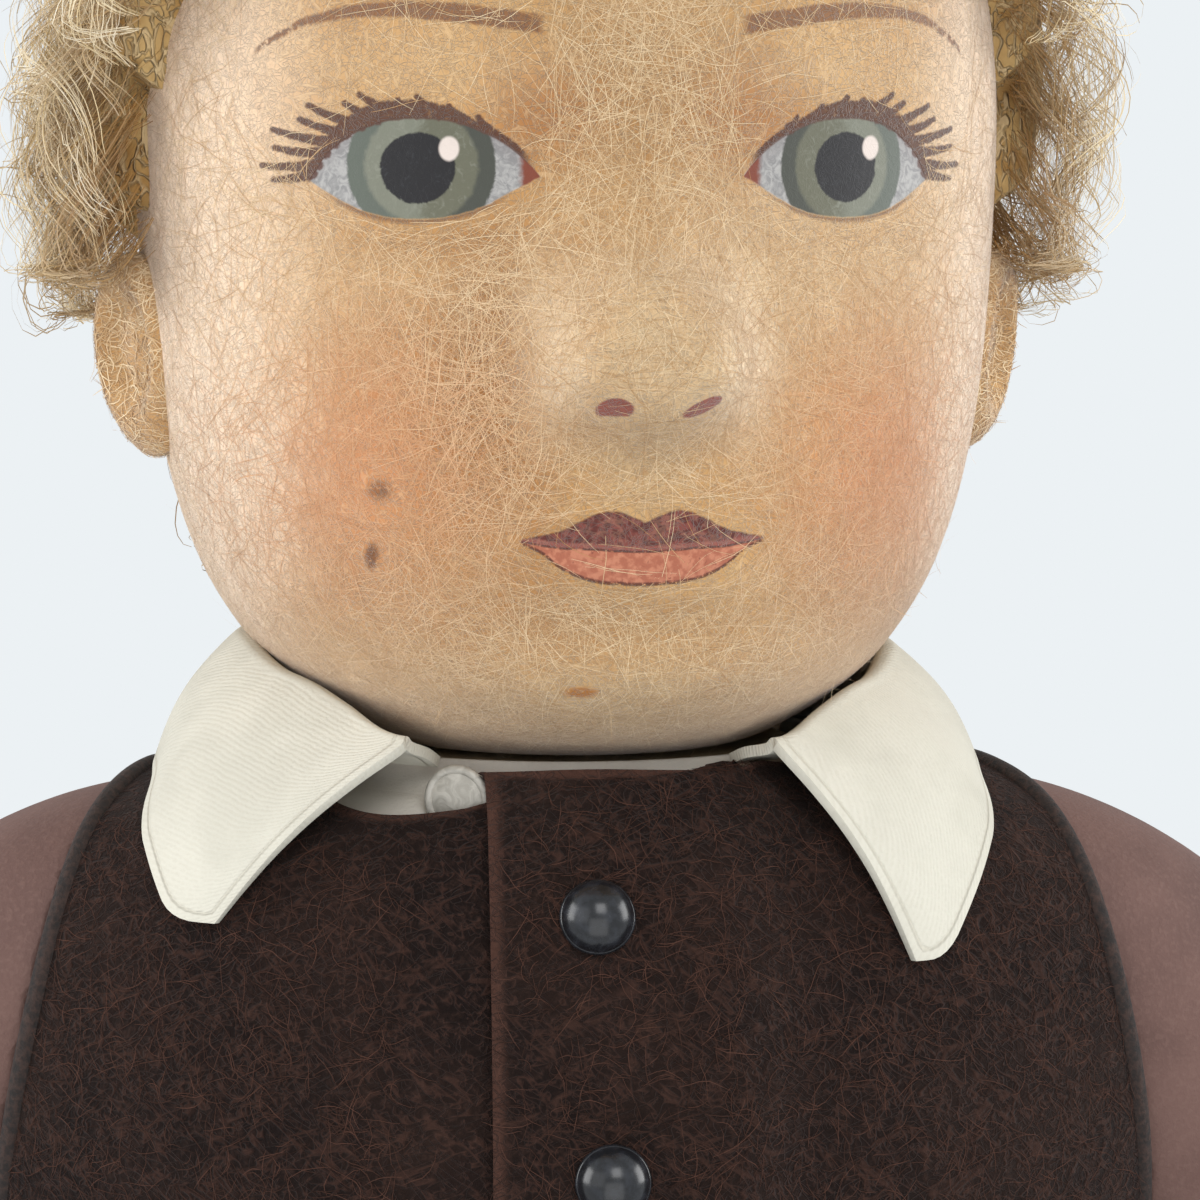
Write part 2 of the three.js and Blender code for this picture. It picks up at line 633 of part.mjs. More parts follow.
const hipPinLength = CROTCH_WIDTH / 2 + PIN_REACH;
const STAND_TOP = NECK_Z - 1;
const STAND_LOW = STAND_TOP - COLLAR_STAND_HEIGHT;
{
  const collarLevels = [STAND_LOW - FIT, STAND_LOW, STAND_TOP].map(bodyT);
  const levels = [...between(0, 1, LAYER_RISE), ...collarLevels].sort((a, b) => a - b);
  const upper = loft(ringsOf(trunk, levels, bodyAngles));
  const hollowHips = [1, -1].map((way) =>
    jointHollow(vec((way * CROTCH_WIDTH) / 2 - (way * FIT) / 2, 0, HIP_Z), ACROSS, -way));
  const hollows = sum([
    jointHollow(vec(0, 0, neckTop), UP, -1),
    jointHollow(shoulder.clone().addScaledVector(shoulderAxis, -FIT / 2), shoulderAxis, -1),
    mirrored(jointHollow(shoulder.clone().addScaledVector(shoulderAxis, -FIT / 2), shoulderAxis, -1)),
    ...hollowHips,
  ]);
  const block = crotchBlock(0, BODY_LOW_Z + 4);
  piece("torso", "body", upper.add(block).subtract(armSides).subtract(hollows), WOOD_WOOL);
  piece("torso", "neck_disc", jointDisc(vec(0, 0, neckTop), UP, -1), HARDBOARD);
  piece("torso", "neck_pin", cotterPin(vec(0, 0, NECK_Z), UP, PIN_REACH, ACROSS), STEEL);

  const near = shoulder.clone().addScaledVector(shoulderAxis, -FIT / 2);
  const shoulderDisc = jointDisc(near, shoulderAxis, -1);
  piece("torso", "shoulder_disc_left", shoulderDisc, HARDBOARD);
  piece("torso", "shoulder_disc_right", mirrored(shoulderDisc), HARDBOARD);
  const pin = cotterPin(shoulder, shoulderAxis, PIN_REACH, shoulderFront);
  piece("torso", "shoulder_pin_left", pin, STEEL);
  piece("torso", "shoulder_pin_right", mirrored(pin), STEEL);
  const hipNear = hip.clone().addScaledVector(ACROSS, -FIT / 2);
  const hipDisc = jointDisc(hipNear, ACROSS, -1);
  piece("torso", "hip_disc_left", hipDisc, HARDBOARD);
  piece("torso", "hip_disc_right", mirrored(hipDisc), HARDBOARD);
  const hipPin = cotterPin(vec(0, 0, HIP_Z), ACROSS, hipPinLength, vec(0, 1, 0));
  piece("torso", "hip_pin", hipPin, STEEL);
}

// A garment panel on the body from one angle to another, in layers out from the skin.
// Its top may follow the angle.
function panel(low, top, angles, inner, outer) {
  const highest = Math.max(...angles.map(top));
  const levels = between(low, highest, LAYER_RISE);
  const grid = (distance) => {
    const surface = offsetSurface(trunk, distance);
    return levels.map((t) => angles.map((angle) => {
      const share = (t - low) / (highest - low);
      return surface(mix(t, mix(low, top(angle), share), share), angle);
    }));
  };
  return thickSheet(grid(inner), grid(outer));
}

const SHIRT_IN = FIT;
const SHIRT_OUT = SHIRT_IN + CLOTH;
const JACKET_IN = SHIRT_OUT + 2 * FIT;
const JACKET_OUT = JACKET_IN + FELT;
const LAP_STEP = FELT + FIT;
const sideSeam = radians(92);

// Distance of a jacket layer from the body; the skirt of the jacket stands off.
function jacketLayer(base) {
  return (t) => base + SKIRT_FLARE * ease((JACKET_HEM_Z + SKIRT_TOP - bodyCurve(t)[0]) / SKIRT_RUN);
}

{
  // Shirt front, with the collar stand round the neck above it.
  const front = radians(75);
  const shirt = panel(bodyT(SHIRT_LOW_Z), () => bodyT(STAND_LOW - FIT), between(-front, front, layerTurn),
    SHIRT_IN, SHIRT_OUT);
  piece("torso", "shirt_front", shirt.subtract(armSides), WHITE_COTTON);
  const standTs = between(bodyT(STAND_LOW), bodyT(STAND_TOP), LAYER_RISE);
  const standWall = (distance, ends) => {
    const rings = ringsOf(offsetSurface(trunk, distance), standTs, bodyAngles);
    rings[0].forEach((p) => p.setZ(p.z - ends));
    rings[rings.length - 1].forEach((p) => p.setZ(p.z + ends));
    return loft(rings);
  };
  const stand = standWall(SHIRT_OUT, 0).subtract(standWall(SHIRT_IN, 2));
  piece("torso", "collar_stand", stand, WHITE_COTTON);

  // Jacket: the doll's left front laps over its right front; the back meets both at the sides.
  const hem = bodyT(JACKET_HEM_Z);
  const neckHeight = (angle) => JACKET_NECK_Z - JACKET_NECK_SIDE * ease(Math.abs(angle) / radians(60));
  const neckLine = (angle) => bodyT(neckHeight(angle));
  const lap = Math.asin(LAP_X / bodyCurve(bodyT(LAP_LEVEL_Z))[1]);
  const dippedLine = (angle) => {
    const dip = JACKET_NECK_DIP * bell(angle - Math.asin(SHIRT_BUTTON_X / 27), radians(13));
    return bodyT(neckHeight(angle) - dip);
  };
  const step = radians(5);
  const underAngles = [...between(-sideSeam, -lap, layerTurn), 0, lap];
  const lapEnd = lap + radians(1.5);
  const overAngles = [-lap, 0, lapEnd, ...between(lapEnd + step, sideSeam, layerTurn)];
  const lapped = (base) => (t, angle) => {
    const past = (lapEnd + step - angle) / step;
    return jacketLayer(base)(t) + LAP_STEP * ease(past);
  };
  const seamGap = radians(0.6);
  const backAngles = between(sideSeam + seamGap, 2 * Math.PI - sideSeam - seamGap, layerTurn);
  const under = panel(hem, dippedLine, underAngles, jacketLayer(JACKET_IN), jacketLayer(JACKET_OUT));
  const over = panel(hem, neckLine, overAngles, lapped(JACKET_IN), lapped(JACKET_OUT));
  const backLine = () => bodyT(JACKET_NECK_Z - JACKET_NECK_SIDE);
  const back = panel(hem, backLine, backAngles, jacketLayer(JACKET_IN), jacketLayer(JACKET_OUT));
  piece("torso", "jacket_right_front", under.subtract(armSides), BROWN_FELT);
  piece("torso", "jacket_left_front", over.subtract(armSides), BROWN_FELT);
  piece("torso", "jacket_back", back.subtract(armSides), BROWN_FELT);

  // Rolled trim along the armhole edge, resting on the jacket.
  const cloth = offsetSurface(trunk, JACKET_OUT);
  const plane = shoulder.clone().addScaledVector(shoulderAxis, -FIT / 2 - PIPING_RADIUS - 0.1);
  const path = [];
  const normals = [];
  for (let i = 0; i < 24; i += 1) {
    const turn = (2 * Math.PI * i) / 24;
    const out = shoulderUp.clone().multiplyScalar(Math.cos(turn))
      .addScaledVector(shoulderFront, Math.sin(turn));
    const reach = reachToCloth(cloth, plane, out);
    path.push(plane.clone().addScaledVector(out, reach + PIPING_RADIUS + 1.5));
    normals.push(out);
  }
  const trim = closedTube(path, normals, PIPING_RADIUS, 5);
  piece("torso", "armhole_trim_left", trim, BROWN_FELT);
  piece("torso", "armhole_trim_right", mirrored(trim), BROWN_FELT);

  // Buttons sit on the lapping front, square to its surface.
  for (let i = 0; i < JACKET_BUTTONS; i += 1) {
    const z = TOP_BUTTON_Z - i * BUTTON_PITCH;
    const lift = (more) => (t) => jacketLayer(JACKET_OUT)(t) + LAP_STEP + more;
    const at = frontAt(0, z, lift(0.35)).point;
    const axis = frontAt(0, z, lift(1.25)).point.sub(at).normalize();
    const r = JACKET_BUTTON_RADIUS;
    const h = JACKET_BUTTON_HEIGHT;
    const button = turned([
      [0, 0], [0.4 * r, 0], [0.45 * r, 0.2 * h], [0.9 * r, 0.28 * h], [r, 0.5 * h],
      [0.92 * r, 0.76 * h], [0.6 * r, 0.95 * h], [0, h],
    ], at, axis, 12);
    piece("torso", `jacket_button_${i + 1}`, button, BLACK_BUTTON);
  }

  // Shell button on the stand, beside the lapping edge of the jacket.
  const buttonZ = STAND_LOW + 1;
  const seat = frontAt(SHIRT_BUTTON_X, buttonZ, SHIRT_OUT + 2.2).point;
  const facing = vec(seat.x, seat.y, 0).normalize();
  const r = SHIRT_BUTTON_RADIUS;
  const button = turned([[0, 0], [0.8 * r, 0], [r, 0.5], [0.95 * r, 1.1], [0.7 * r, 1.3], [0, 1]],
    seat, facing, 14);
  piece("torso", "shirt_button", button, SHELL_BUTTON);
}

// How far a ray in the armhole plane runs before it leaves the cloth on the body.
function reachToCloth(cloth, from, out) {
  const inside = (p) => {
    const z = Math.min(Math.max(p.z, BODY_LOW_Z + 1), NECK_Z - 1.5);
    const angle = Math.atan2(p.x, -p.y);
    let t = bodyT(z);
    let q = cloth(t, angle);
    for (let pass = 0; pass < 12; pass += 1) {
      t = Math.min(Math.max(t + 0.5 * (bodyT(z) - bodyT(Math.min(q.z, NECK_Z - 1))), 0), 1);
      q = cloth(t, angle);
    }
    return Math.hypot(p.x, p.y) < Math.hypot(q.x, q.y);
  };
  let near = 6;
  let far = 45;
  for (let pass = 0; pass < 24; pass += 1) {
    const middle = (near + far) / 2;
    if (inside(from.clone().addScaledVector(out, middle))) near = middle;
    else far = middle;
  }
  return near;
}

// Collar fall: a band folded over the stand, level at the back and drawn into two points in front.
// Each column runs from the outer edge up the jacket, over the fold and down inside it.
{
  const opening = radians(COLLAR_OPENING);
  const columns = steps(-1, 1, 20);
  const pointAngle = frontAt(COLLAR_POINT_X, COLLAR_POINT_Z, JACKET_OUT).angle;
  const column = (share, lift) => {
    const round = 1 - Math.abs(share);
    const side = share < 0 ? -1 : 1;
    const angle = mix(opening, Math.PI, round);
    const sidewards = ease(round / 0.36);
    const edgeAngle = mix(pointAngle, angle, sidewards);
    const backwards = ease((round - 0.36) / 0.5);
    const edgeZ = mix(mix(COLLAR_POINT_Z, COLLAR_SIDE_Z, sidewards), NECK_Z - COLLAR_BACK_DROP, backwards);
    const off = COLLAR_OFF + LAP_STEP * 0.25 * (1 - sidewards);
    const surface = offsetSurface(trunk, JACKET_OUT + off + lift);
    const topZ = JACKET_NECK_Z - 2.2;
    const foldRise = mix(COLLAR_FRONT_RISE, COLLAR_FOLD_RISE, ease((round - 0.05) / 0.3));
    const crest = NECK_Z + foldRise + lift;
    const onJacket = [0, 0.35, 0.7, 1].map((k) =>
      surface(mix(bodyT(edgeZ), bodyT(topZ), k), side * mix(edgeAngle, angle, k)));
    return [
      ...onJacket,
      ringPoint(COLLAR_FOLD_RADIUS + lift * 0.7, side * angle, crest - 0.7),
      ringPoint(COLLAR_FOLD_RADIUS - 1.1, side * angle, crest),
      ringPoint(NECK_RADIUS + 2.4 - 0.6 * lift, side * angle, NECK_Z - 0.3 + 0.8 * lift),
    ];
  };
  const grid = (lift) => {
    const made = columns.map((share) => column(share, lift));
    return made[0].map((_, row) => made.map((points) => points[row]));
  };
  piece("torso", "collar_fall", thickSheet(grid(0), grid(COLLAR_CLOTH)), WHITE_COTTON);
}

function ringPoint(radius, angle, z) {
  return vec(radius * Math.sin(angle), -radius * Math.cos(angle), z);
}

// Trouser seat: a band round the hips and a gusset between the legs.
{
  const waistT = bodyT(JACKET_HEM_Z + WAISTBAND);
  const hips = (grow, above) => {
    const rings = ringsOf(offsetSurface(trunk, grow), between(0, waistT, LAYER_RISE), bodyAngles);
    rings[0].forEach((p) => p.setZ(p.z - grow));
    rings[rings.length - 1].forEach((p) => p.setZ(p.z + above));
    return loft(rings).add(crotchBlock(grow, BODY_LOW_Z + 2));
  };
  piece("torso", "trouser_seat", hips(FIT + FELT, 0).subtract(hips(FIT, 3)), BROWN_FELT);
}

// A limb swells out of a round cap on its joint plane into a tapering tube.
function capDome(origin, axis, up, radii, out, sides) {
  const front = axis.clone().cross(up);
  const profile = [[1, -0.5]];
  steps(0, 84, 4).forEach((degrees) =>
    profile.push([Math.cos(radians(degrees)), out * Math.sin(radians(degrees))]));
  const turns = steps(0, 2 * Math.PI, sides).slice(0, sides);
  return loft(profile.map(([share, along]) => turns.map((turn) =>
    origin.clone().addScaledVector(axis, along)
      .addScaledVector(up, share * radii[0] * Math.cos(turn))
      .addScaledVector(front, share * radii[1] * Math.sin(turn)))));
}

function limbTube(stations, across, sides) {
  const rings = stations.map(({ centre, along, radius }) => {
    const a = across.clone().addScaledVector(along, -across.dot(along)).normalize();
    const b = along.clone().cross(a);
    return steps(0, 2 * Math.PI, sides).slice(0, sides).map((turn) =>
      centre.clone().addScaledVector(a, radius * Math.cos(turn))
        .addScaledVector(b, radius * Math.sin(turn)));
  });
  return loft(rings);
}

// Arm: hangs beside the joint plane, a little forward, with a slight bend at the elbow.
const armRest = radians(ARM_REST);
const armAlong = shoulderUp.clone().multiplyScalar(-Math.cos(armRest))
  .addScaledVector(shoulderFront, Math.sin(armRest));
const armFront = armAlong.clone().cross(shoulderAxis);
const SLEEVE_IN = FIT + 0.4;
const SLEEVE_OUT = SLEEVE_IN + CLOTH;
const ARM_OUT = UPPER_ARM_RADIUS + SLEEVE_OUT + 2 * FIT;

function armCentre(k) {
  return shoulder.clone().addScaledVector(shoulderAxis, ARM_OUT)
    .addScaledVector(armAlong, k * ARM_LENGTH)
    .addScaledVector(armFront, ELBOW_BEND * ease(k) * k);
}

function armForm(grow, sides) {
  const middle = shoulder.clone().addScaledVector(shoulderFront, -ARMHOLE_BACK);
  const trim = grow - SLEEVE_OUT;
  const cap = capDome(middle, shoulderAxis, shoulderUp, [ARMHOLE_UP + trim, ARMHOLE_DEEP + trim],
    SHOULDER_CAP + trim, 14);
  const stations = [];
  const r0 = UPPER_ARM_RADIUS + grow;
  [75, 40].forEach((degrees) => {
    const lift = r0 * Math.sin(radians(degrees));
    const centre = armCentre(0).addScaledVector(armAlong, -lift);
    stations.push({ centre, along: armAlong, radius: r0 * Math.cos(radians(degrees)) });
  });
  steps(0, 1, 5).forEach((k) => {
    const radius = mix(UPPER_ARM_RADIUS, WRIST_RADIUS, ease(k)) + grow;
    const along = armCentre(k + 0.02).sub(armCentre(k - 0.02)).normalize();
    stations.push({ centre: armCentre(k), along, radius });
  });
  return cap.add(limbTube(stations, shoulderAxis, sides));
}

// Mitten hand with four rounded fingers and a thumb, palm towards the body.
function handForm() {
  const along = armCentre(1).sub(armCentre(0.94)).normalize();
  const thick = shoulderAxis.clone().addScaledVector(along, -shoulderAxis.dot(along)).normalize();
  const wide = along.clone().cross(thick);
  const place = (down, forward, inward = 0) => armCentre(1).addScaledVector(along, down)
    .addScaledVector(wide, forward).addScaledVector(thick, inward);
  const palmLong = HAND_LENGTH * 0.42;
  const axes = [thick, wide, along];
  const palm = [HAND_THICKNESS / 2, HAND_WIDTH / 2, palmLong];
  const solids = [ball(palm, place(palmLong * 0.72, 0), 10, 6, axes)];
  const pitch = HAND_WIDTH * 0.235;
  [0.88, 1, 0.97, 0.82].forEach((share, i) => {
    const long = HAND_LENGTH * 0.3 * share;
    const across = (1.5 - i) * pitch;
    const radii = [HAND_THICKNESS * 0.34, pitch * 0.62, long];
    solids.push(ball(radii, place(HAND_LENGTH * 0.7 + long * 0.2, across), 6, 5, axes));
  });
  const lean = radians(32);
  const thumbAlong = along.clone().multiplyScalar(Math.cos(lean)).addScaledVector(wide, Math.sin(lean));
  const thumbWide = thumbAlong.clone().cross(thick);
  solids.push(ball([HAND_THICKNESS * 0.34, HAND_WIDTH * 0.15, HAND_LENGTH * 0.29],
    place(HAND_LENGTH * 0.34, HAND_WIDTH * 0.5), 6, 5, [thick, thumbWide, thumbAlong]));
  return sum(solids);
}

{
  const outside = beyond(shoulder, shoulderAxis, FIT / 2);
  const jointSide = shoulder.clone().addScaledVector(shoulderAxis, FIT / 2);
  const arm = armForm(0, LIMB_SIDES).add(handForm()).intersect(outside)
    .subtract(jointHollow(jointSide, shoulderAxis, 1));
  const cuff = beyond(armCentre(SLEEVE_LENGTH / ARM_LENGTH), armAlong, 0);
  const sleeve = armForm(SLEEVE_OUT, LIMB_SIDES).subtract(armForm(SLEEVE_IN, LIMB_SIDES))
    .intersect(outside).subtract(cuff);
  const disc = jointDisc(jointSide, shoulderAxis, 1);
  piece("arm_left", "arm_stuffed_left", arm, SKIN);
  piece("arm_left", "sleeve_left", sleeve, MAUVE_CLOTH);
  piece("arm_left", "arm_disc_left", disc, HARDBOARD);
  piece("arm_right", "arm_stuffed_right", mirrored(arm), SKIN);
  piece("arm_right", "sleeve_right", mirrored(sleeve), MAUVE_CLOTH);
  piece("arm_right", "arm_disc_right", mirrored(disc), HARDBOARD);
}

// Leg: radius at each height below the hip, then a foot.
const LEG_ROWS = [
  [HIP_Z + THIGH_RADIUS * 0.98, 3],
  [HIP_Z + THIGH_RADIUS * 0.7, THIGH_RADIUS * 0.72],
  [HIP_Z, THIGH_RADIUS],
  [mix(HIP_Z, KNEE_Z, 0.5), mix(THIGH_RADIUS, KNEE_RADIUS, 0.4)],
  [KNEE_Z, KNEE_RADIUS],
  [CALF_Z, CALF_RADIUS],
  [mix(CALF_Z, ANKLE_Z, 0.6), mix(CALF_RADIUS, ANKLE_RADIUS, 0.7)],
  [ANKLE_Z, ANKLE_RADIUS],
  [ANKLE_Z * 0.4, ANKLE_RADIUS * 0.95],
];
const DOWN = vec(0, 0, -1);
const FOOT_LOW = SOLE + SHOE_LEATHER_WALL + 0.9 + 3 * FIT;
const FOOT_FRONT = SHOE_LENGTH - HEEL_BACK_Y - SHOE_LEATHER_WALL - 2.6;
const FOOT_BACK = HEEL_BACK_Y - SHOE_LEATHER_WALL - 2.6;

function thighForm(grow) {
  const round = THIGH_TOP_RADIUS + grow;
  const cap = capDome(hip, ACROSS, UP, [round, round], THIGH_CAP + grow, 14);
  const stations = LEG_ROWS.map(([z, radius]) => {
    return { centre: vec(LEG_X, 0, z), along: DOWN, radius: radius + grow };
  });
  return cap.add(limbTube(stations, ACROSS, LIMB_SIDES));
}

function footForm(grow) {
  const stations = LEG_ROWS.slice(4).map(([z, radius]) => {
    return { centre: vec(LEG_X, 0, z), along: DOWN, radius: radius + grow };
  });
  stations[stations.length - 1].centre.z -= grow;
  const long = (FOOT_FRONT + FOOT_BACK) / 2;
  const foot = ball([SHOE_WIDTH / 2 - 3.4 + grow, long + grow, FOOT_HALF_HEIGHT + grow],
    vec(LEG_X, (FOOT_BACK - FOOT_FRONT) / 2, FOOT_LOW + FOOT_HALF_HEIGHT), 10, 6);
  return limbTube(stations, ACROSS, LIMB_SIDES).add(foot);
}

{
  const outside = beyond(hip, ACROSS, FIT / 2);
  const jointSide = hip.clone().addScaledVector(ACROSS, FIT / 2);
  const leg = thighForm(0).add(footForm(0)).intersect(outside)
    .subtract(jointHollow(jointSide, ACROSS, 1));
  const disc = jointDisc(jointSide, ACROSS, 1);

  const flare = (grow, low) => limbTube([
    { centre: vec(LEG_X, 0, HIP_Z - 20), along: DOWN, radius: THIGH_RADIUS + grow },
    { centre: vec(LEG_X, 0, KNEE_Z + 20), along: DOWN, radius: KNEE_RADIUS + TROUSER_FLARE * 0.7 + grow },
    { centre: vec(LEG_X, 0, low), along: DOWN, radius: KNEE_RADIUS + TROUSER_FLARE + grow },
  ], ACROSS, LIMB_SIDES);
  const belowHem = beyond(vec(0, 0, TROUSER_HEM_Z), DOWN, 0);
  const clothed = thighForm(FIT + FELT).add(flare(FIT + FELT, TROUSER_HEM_Z - 4));
  const room = thighForm(FIT).add(flare(FIT, TROUSER_HEM_Z - 6));
  const trouser = clothed.subtract(room).intersect(outside).subtract(belowHem);

  const overSock = beyond(vec(0, 0, SOCK_TOP_Z), UP, 0);
  const sock = footForm(FIT + SOCK_WALL).subtract(footForm(FIT)).subtract(overSock);

  // Ankle shoe: a round-toed upper on a flat sole.
  const last = FIT + SOCK_WALL + FIT;
  const middle = vec(LEG_X, HEEL_BACK_Y - SHOE_LENGTH / 2, SOLE + FIT + 10);
  const toe = ball([SHOE_WIDTH / 2 - SOLE_LIP, SHOE_LENGTH / 2 - SOLE_LIP, TOE_HALF_HEIGHT], middle, 12, 7);
  const throat = ANKLE_RADIUS + last + SHOE_LEATHER_WALL;
  const shaft = limbTube([
    { centre: vec(LEG_X, 0, SHOE_TOP_Z), along: DOWN, radius: throat + 0.5 },
    { centre: vec(LEG_X, 0, SOLE + 8), along: DOWN, radius: throat + 0.9 },
  ], ACROSS, LIMB_SIDES);
  const floor = beyond(vec(0, 0, SOLE + FIT), DOWN, 0);
  const upper = toe.add(shaft).subtract(footForm(last)).subtract(floor);
  const outline = new THREE.Shape();
  outline.absellipse(middle.x, middle.y, SHOE_WIDTH / 2, SHOE_LENGTH / 2, 0, 2 * Math.PI, false, 0);
  const sole = new THREE.ExtrudeGeometry(outline, { depth: SOLE, bevelEnabled: false, curveSegments: 16 });

  const pieces = [
    ["leg_stuffed", leg, SKIN],
    ["leg_disc", disc, HARDBOARD],
    ["trouser_leg", trouser, BROWN_FELT],
    ["sock", sock, WHITE_COTTON],
    ["shoe_upper", upper, SHOE_LEATHER],
    ["shoe_sole", solidOf(sole), SOLE_LEATHER],
  ];
  for (const [name, solid, material] of pieces) {
    piece("leg_left", `${name}_left`, solid, material);
    piece("leg_right", `${name}_right`, mirrored(solid), material);
  }
}

const doll = new THREE.Group();
doll.name = "felt_doll";
for (const body of Object.values(bodies)) doll.add(body);
doll.updateMatrixWorld(true);
const middle = new THREE.Box3().setFromObject(doll, true).getCenter(new THREE.Vector3());
doll.position.set(-middle.x, -middle.y, 0);
export default doll;
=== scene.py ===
# %% [markdown]
# A jointed felt doll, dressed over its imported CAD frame. The frame gives every piece its place: this
# script adds the felt, cloth and hair that the solids only block out. Lengths below are millimetres
# measured from the doll's own upright axis, and become metres when a mesh is made.

# %% Load the frame
import json
import math

import bmesh
import bpy
import numpy as np
from mathutils import Matrix, Vector
from mathutils.bvhtree import BVHTree


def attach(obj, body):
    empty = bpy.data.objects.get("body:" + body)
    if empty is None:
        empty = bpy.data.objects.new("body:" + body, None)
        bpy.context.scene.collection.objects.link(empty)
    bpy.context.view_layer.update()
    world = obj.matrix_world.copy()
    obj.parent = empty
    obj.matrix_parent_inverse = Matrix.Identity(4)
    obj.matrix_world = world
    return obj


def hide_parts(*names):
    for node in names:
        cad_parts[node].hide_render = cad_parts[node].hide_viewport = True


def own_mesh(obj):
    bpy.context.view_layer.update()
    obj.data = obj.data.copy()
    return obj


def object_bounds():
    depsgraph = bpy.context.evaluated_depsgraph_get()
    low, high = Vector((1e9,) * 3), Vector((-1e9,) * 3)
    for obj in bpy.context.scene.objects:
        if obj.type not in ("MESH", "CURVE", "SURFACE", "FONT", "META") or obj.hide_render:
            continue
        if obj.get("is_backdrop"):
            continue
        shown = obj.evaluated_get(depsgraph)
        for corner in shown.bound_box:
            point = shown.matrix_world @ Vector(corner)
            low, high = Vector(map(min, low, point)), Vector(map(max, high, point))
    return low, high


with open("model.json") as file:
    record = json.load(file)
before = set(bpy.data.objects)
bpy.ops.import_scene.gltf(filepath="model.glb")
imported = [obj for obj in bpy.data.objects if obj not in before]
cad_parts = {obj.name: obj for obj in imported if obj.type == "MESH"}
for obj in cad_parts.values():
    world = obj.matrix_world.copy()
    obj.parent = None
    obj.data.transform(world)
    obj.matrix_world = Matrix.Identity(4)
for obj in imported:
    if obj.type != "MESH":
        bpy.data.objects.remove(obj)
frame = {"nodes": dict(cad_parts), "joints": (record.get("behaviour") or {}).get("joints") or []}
cad_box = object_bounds()
joints = {j["name"]: j for j in frame["joints"]}
MM = 0.001
AXIS_Y = joints["neck_turn"]["pos_m"][1] / MM
NECK_Z = joints["neck_turn"]["pos_m"][2] / MM
print("frame:", len(frame["nodes"]), "nodes, neck at", round(NECK_Z, 1), "mm")

# %% [markdown]
# Soft forms are easiest to describe as surfaces: a few measured sections with a smooth curve through
# them. These helpers read such curves, and push a surface out along its own normal to lay one garment
# over another.

# %% Curves and surfaces


def bell(distance, spread):
    return np.exp(-0.5 * (distance / spread) ** 2)


def mix(a, b, t):
    return a + (b - a) * t


def ease(t):
    k = np.clip(t, 0, 1)
    return k * k * (3 - 2 * k)


def unit(v):
    v = np.asarray(v, float)
    return v / np.maximum(np.linalg.norm(v, axis=-1, keepdims=True), 1e-12)


def through_rows(rows):
    """A smooth curve through rows of numbers, read at t from 0 to 1."""
    rows = np.array(rows, float)
    last = len(rows) - 1

    def curve(t):
        place = np.clip(t, 0, 1) * last
        i = np.minimum(np.floor(place).astype(int), last - 1)
        k = (place - i)[..., None]
        a, b = rows[i], rows[i + 1]
        slope_a = (b - rows[np.maximum(i - 1, 0)]) / 2
        slope_b = (rows[np.minimum(i + 2, last)] - a) / 2
        k2, k3 = k * k, k * k * k
        return ((2 * k3 - 3 * k2 + 1) * a + (k3 - 2 * k2 + k) * slope_a
                + (3 * k2 - 2 * k3) * b + (k3 - k2) * slope_b)

    return curve


def height_reader(curve):
    """The t at which a curve through rows reaches height z."""
    ts = np.linspace(0, 1, 2001)
    zs = curve(ts)[:, 0]
    return lambda z: np.interp(z, zs, ts)


def normal_of(surface, t, a):
    d = 1e-3
    along = surface(np.minimum(t + d, 1), a) - surface(np.maximum(t - d, 0), a)
    around = surface(t, a + d) - surface(t, a - d)
    return unit(np.cross(around, along))


def lifted(surface, distance):
    """A surface moved out along its normal, by a distance that may vary over it."""
    def moved(t, a):
        out = distance(t, a) if callable(distance) else distance
        return surface(t, a) + normal_of(surface, t, a) * np.broadcast_to(out, np.shape(t))[..., None]
    return moved


def grid_of(surface, ts, angles):
    t, a = np.meshgrid(ts, angles, indexing="ij")
    return surface(t, a)


# %% [markdown]
# Meshes are written straight into Blender's arrays, which is quick even for many thousand felt fibres.
# Every finished object stays at the origin, so its place is in its vertices and Object coordinates can be
# trusted.

# %% Mesh helpers


def grid_quads(rows, columns, closed=False):
    i, j = np.meshgrid(np.arange(rows - 1), np.arange(columns if closed else columns - 1), indexing="ij")
    a = i * columns + j
    b = i * columns + (j + 1) % columns
    return np.stack([a, b, b + columns, a + columns], -1).reshape(-1, 4)


def new_object(name, points, quads, triangles=None, uvs=None, floats=None):
    """A mesh object from points in millimetres; uvs and floats are per point."""
    points = np.asarray(points, float).reshape(-1, 3)
    loops = np.asarray(quads, np.int32).reshape(-1)
    starts = np.arange(0, len(loops), 4)
    sizes = np.full(len(starts), 4)
    if triangles is not None and len(triangles):
        extra = np.asarray(triangles, np.int32).reshape(-1)
        starts = np.concatenate([starts, len(loops) + np.arange(0, len(extra), 3)])
        sizes = np.concatenate([sizes, np.full(len(extra) // 3, 3)])
        loops = np.concatenate([loops, extra])
    mesh = bpy.data.meshes.new(name)
    mesh.vertices.add(len(points))
    placed = (points + np.array([0, AXIS_Y, 0])) * MM
    mesh.vertices.foreach_set("co", placed.astype(np.float32).ravel())
    mesh.loops.add(len(loops))
    mesh.loops.foreach_set("vertex_index", loops.astype(np.int32))
    mesh.polygons.add(len(starts))
    mesh.polygons.foreach_set("loop_start", starts.astype(np.int32))
    mesh.polygons.foreach_set("loop_total", sizes.astype(np.int32))
    mesh.update(calc_edges=True)
    for layer, values in (uvs or {}).items():
        data = np.asarray(values, np.float32).reshape(-1, 2)[loops]
        mesh.uv_layers.new(name=layer).data.foreach_set("uv", data.ravel())
    for attribute, values in (floats or {}).items():
        made = mesh.attributes.new(attribute, "FLOAT", "POINT")
        made.data.foreach_set("value", np.asarray(values, np.float32).ravel())
    made = bpy.data.objects.new(name, mesh)
    bpy.context.scene.collection.objects.link(made)
    return made


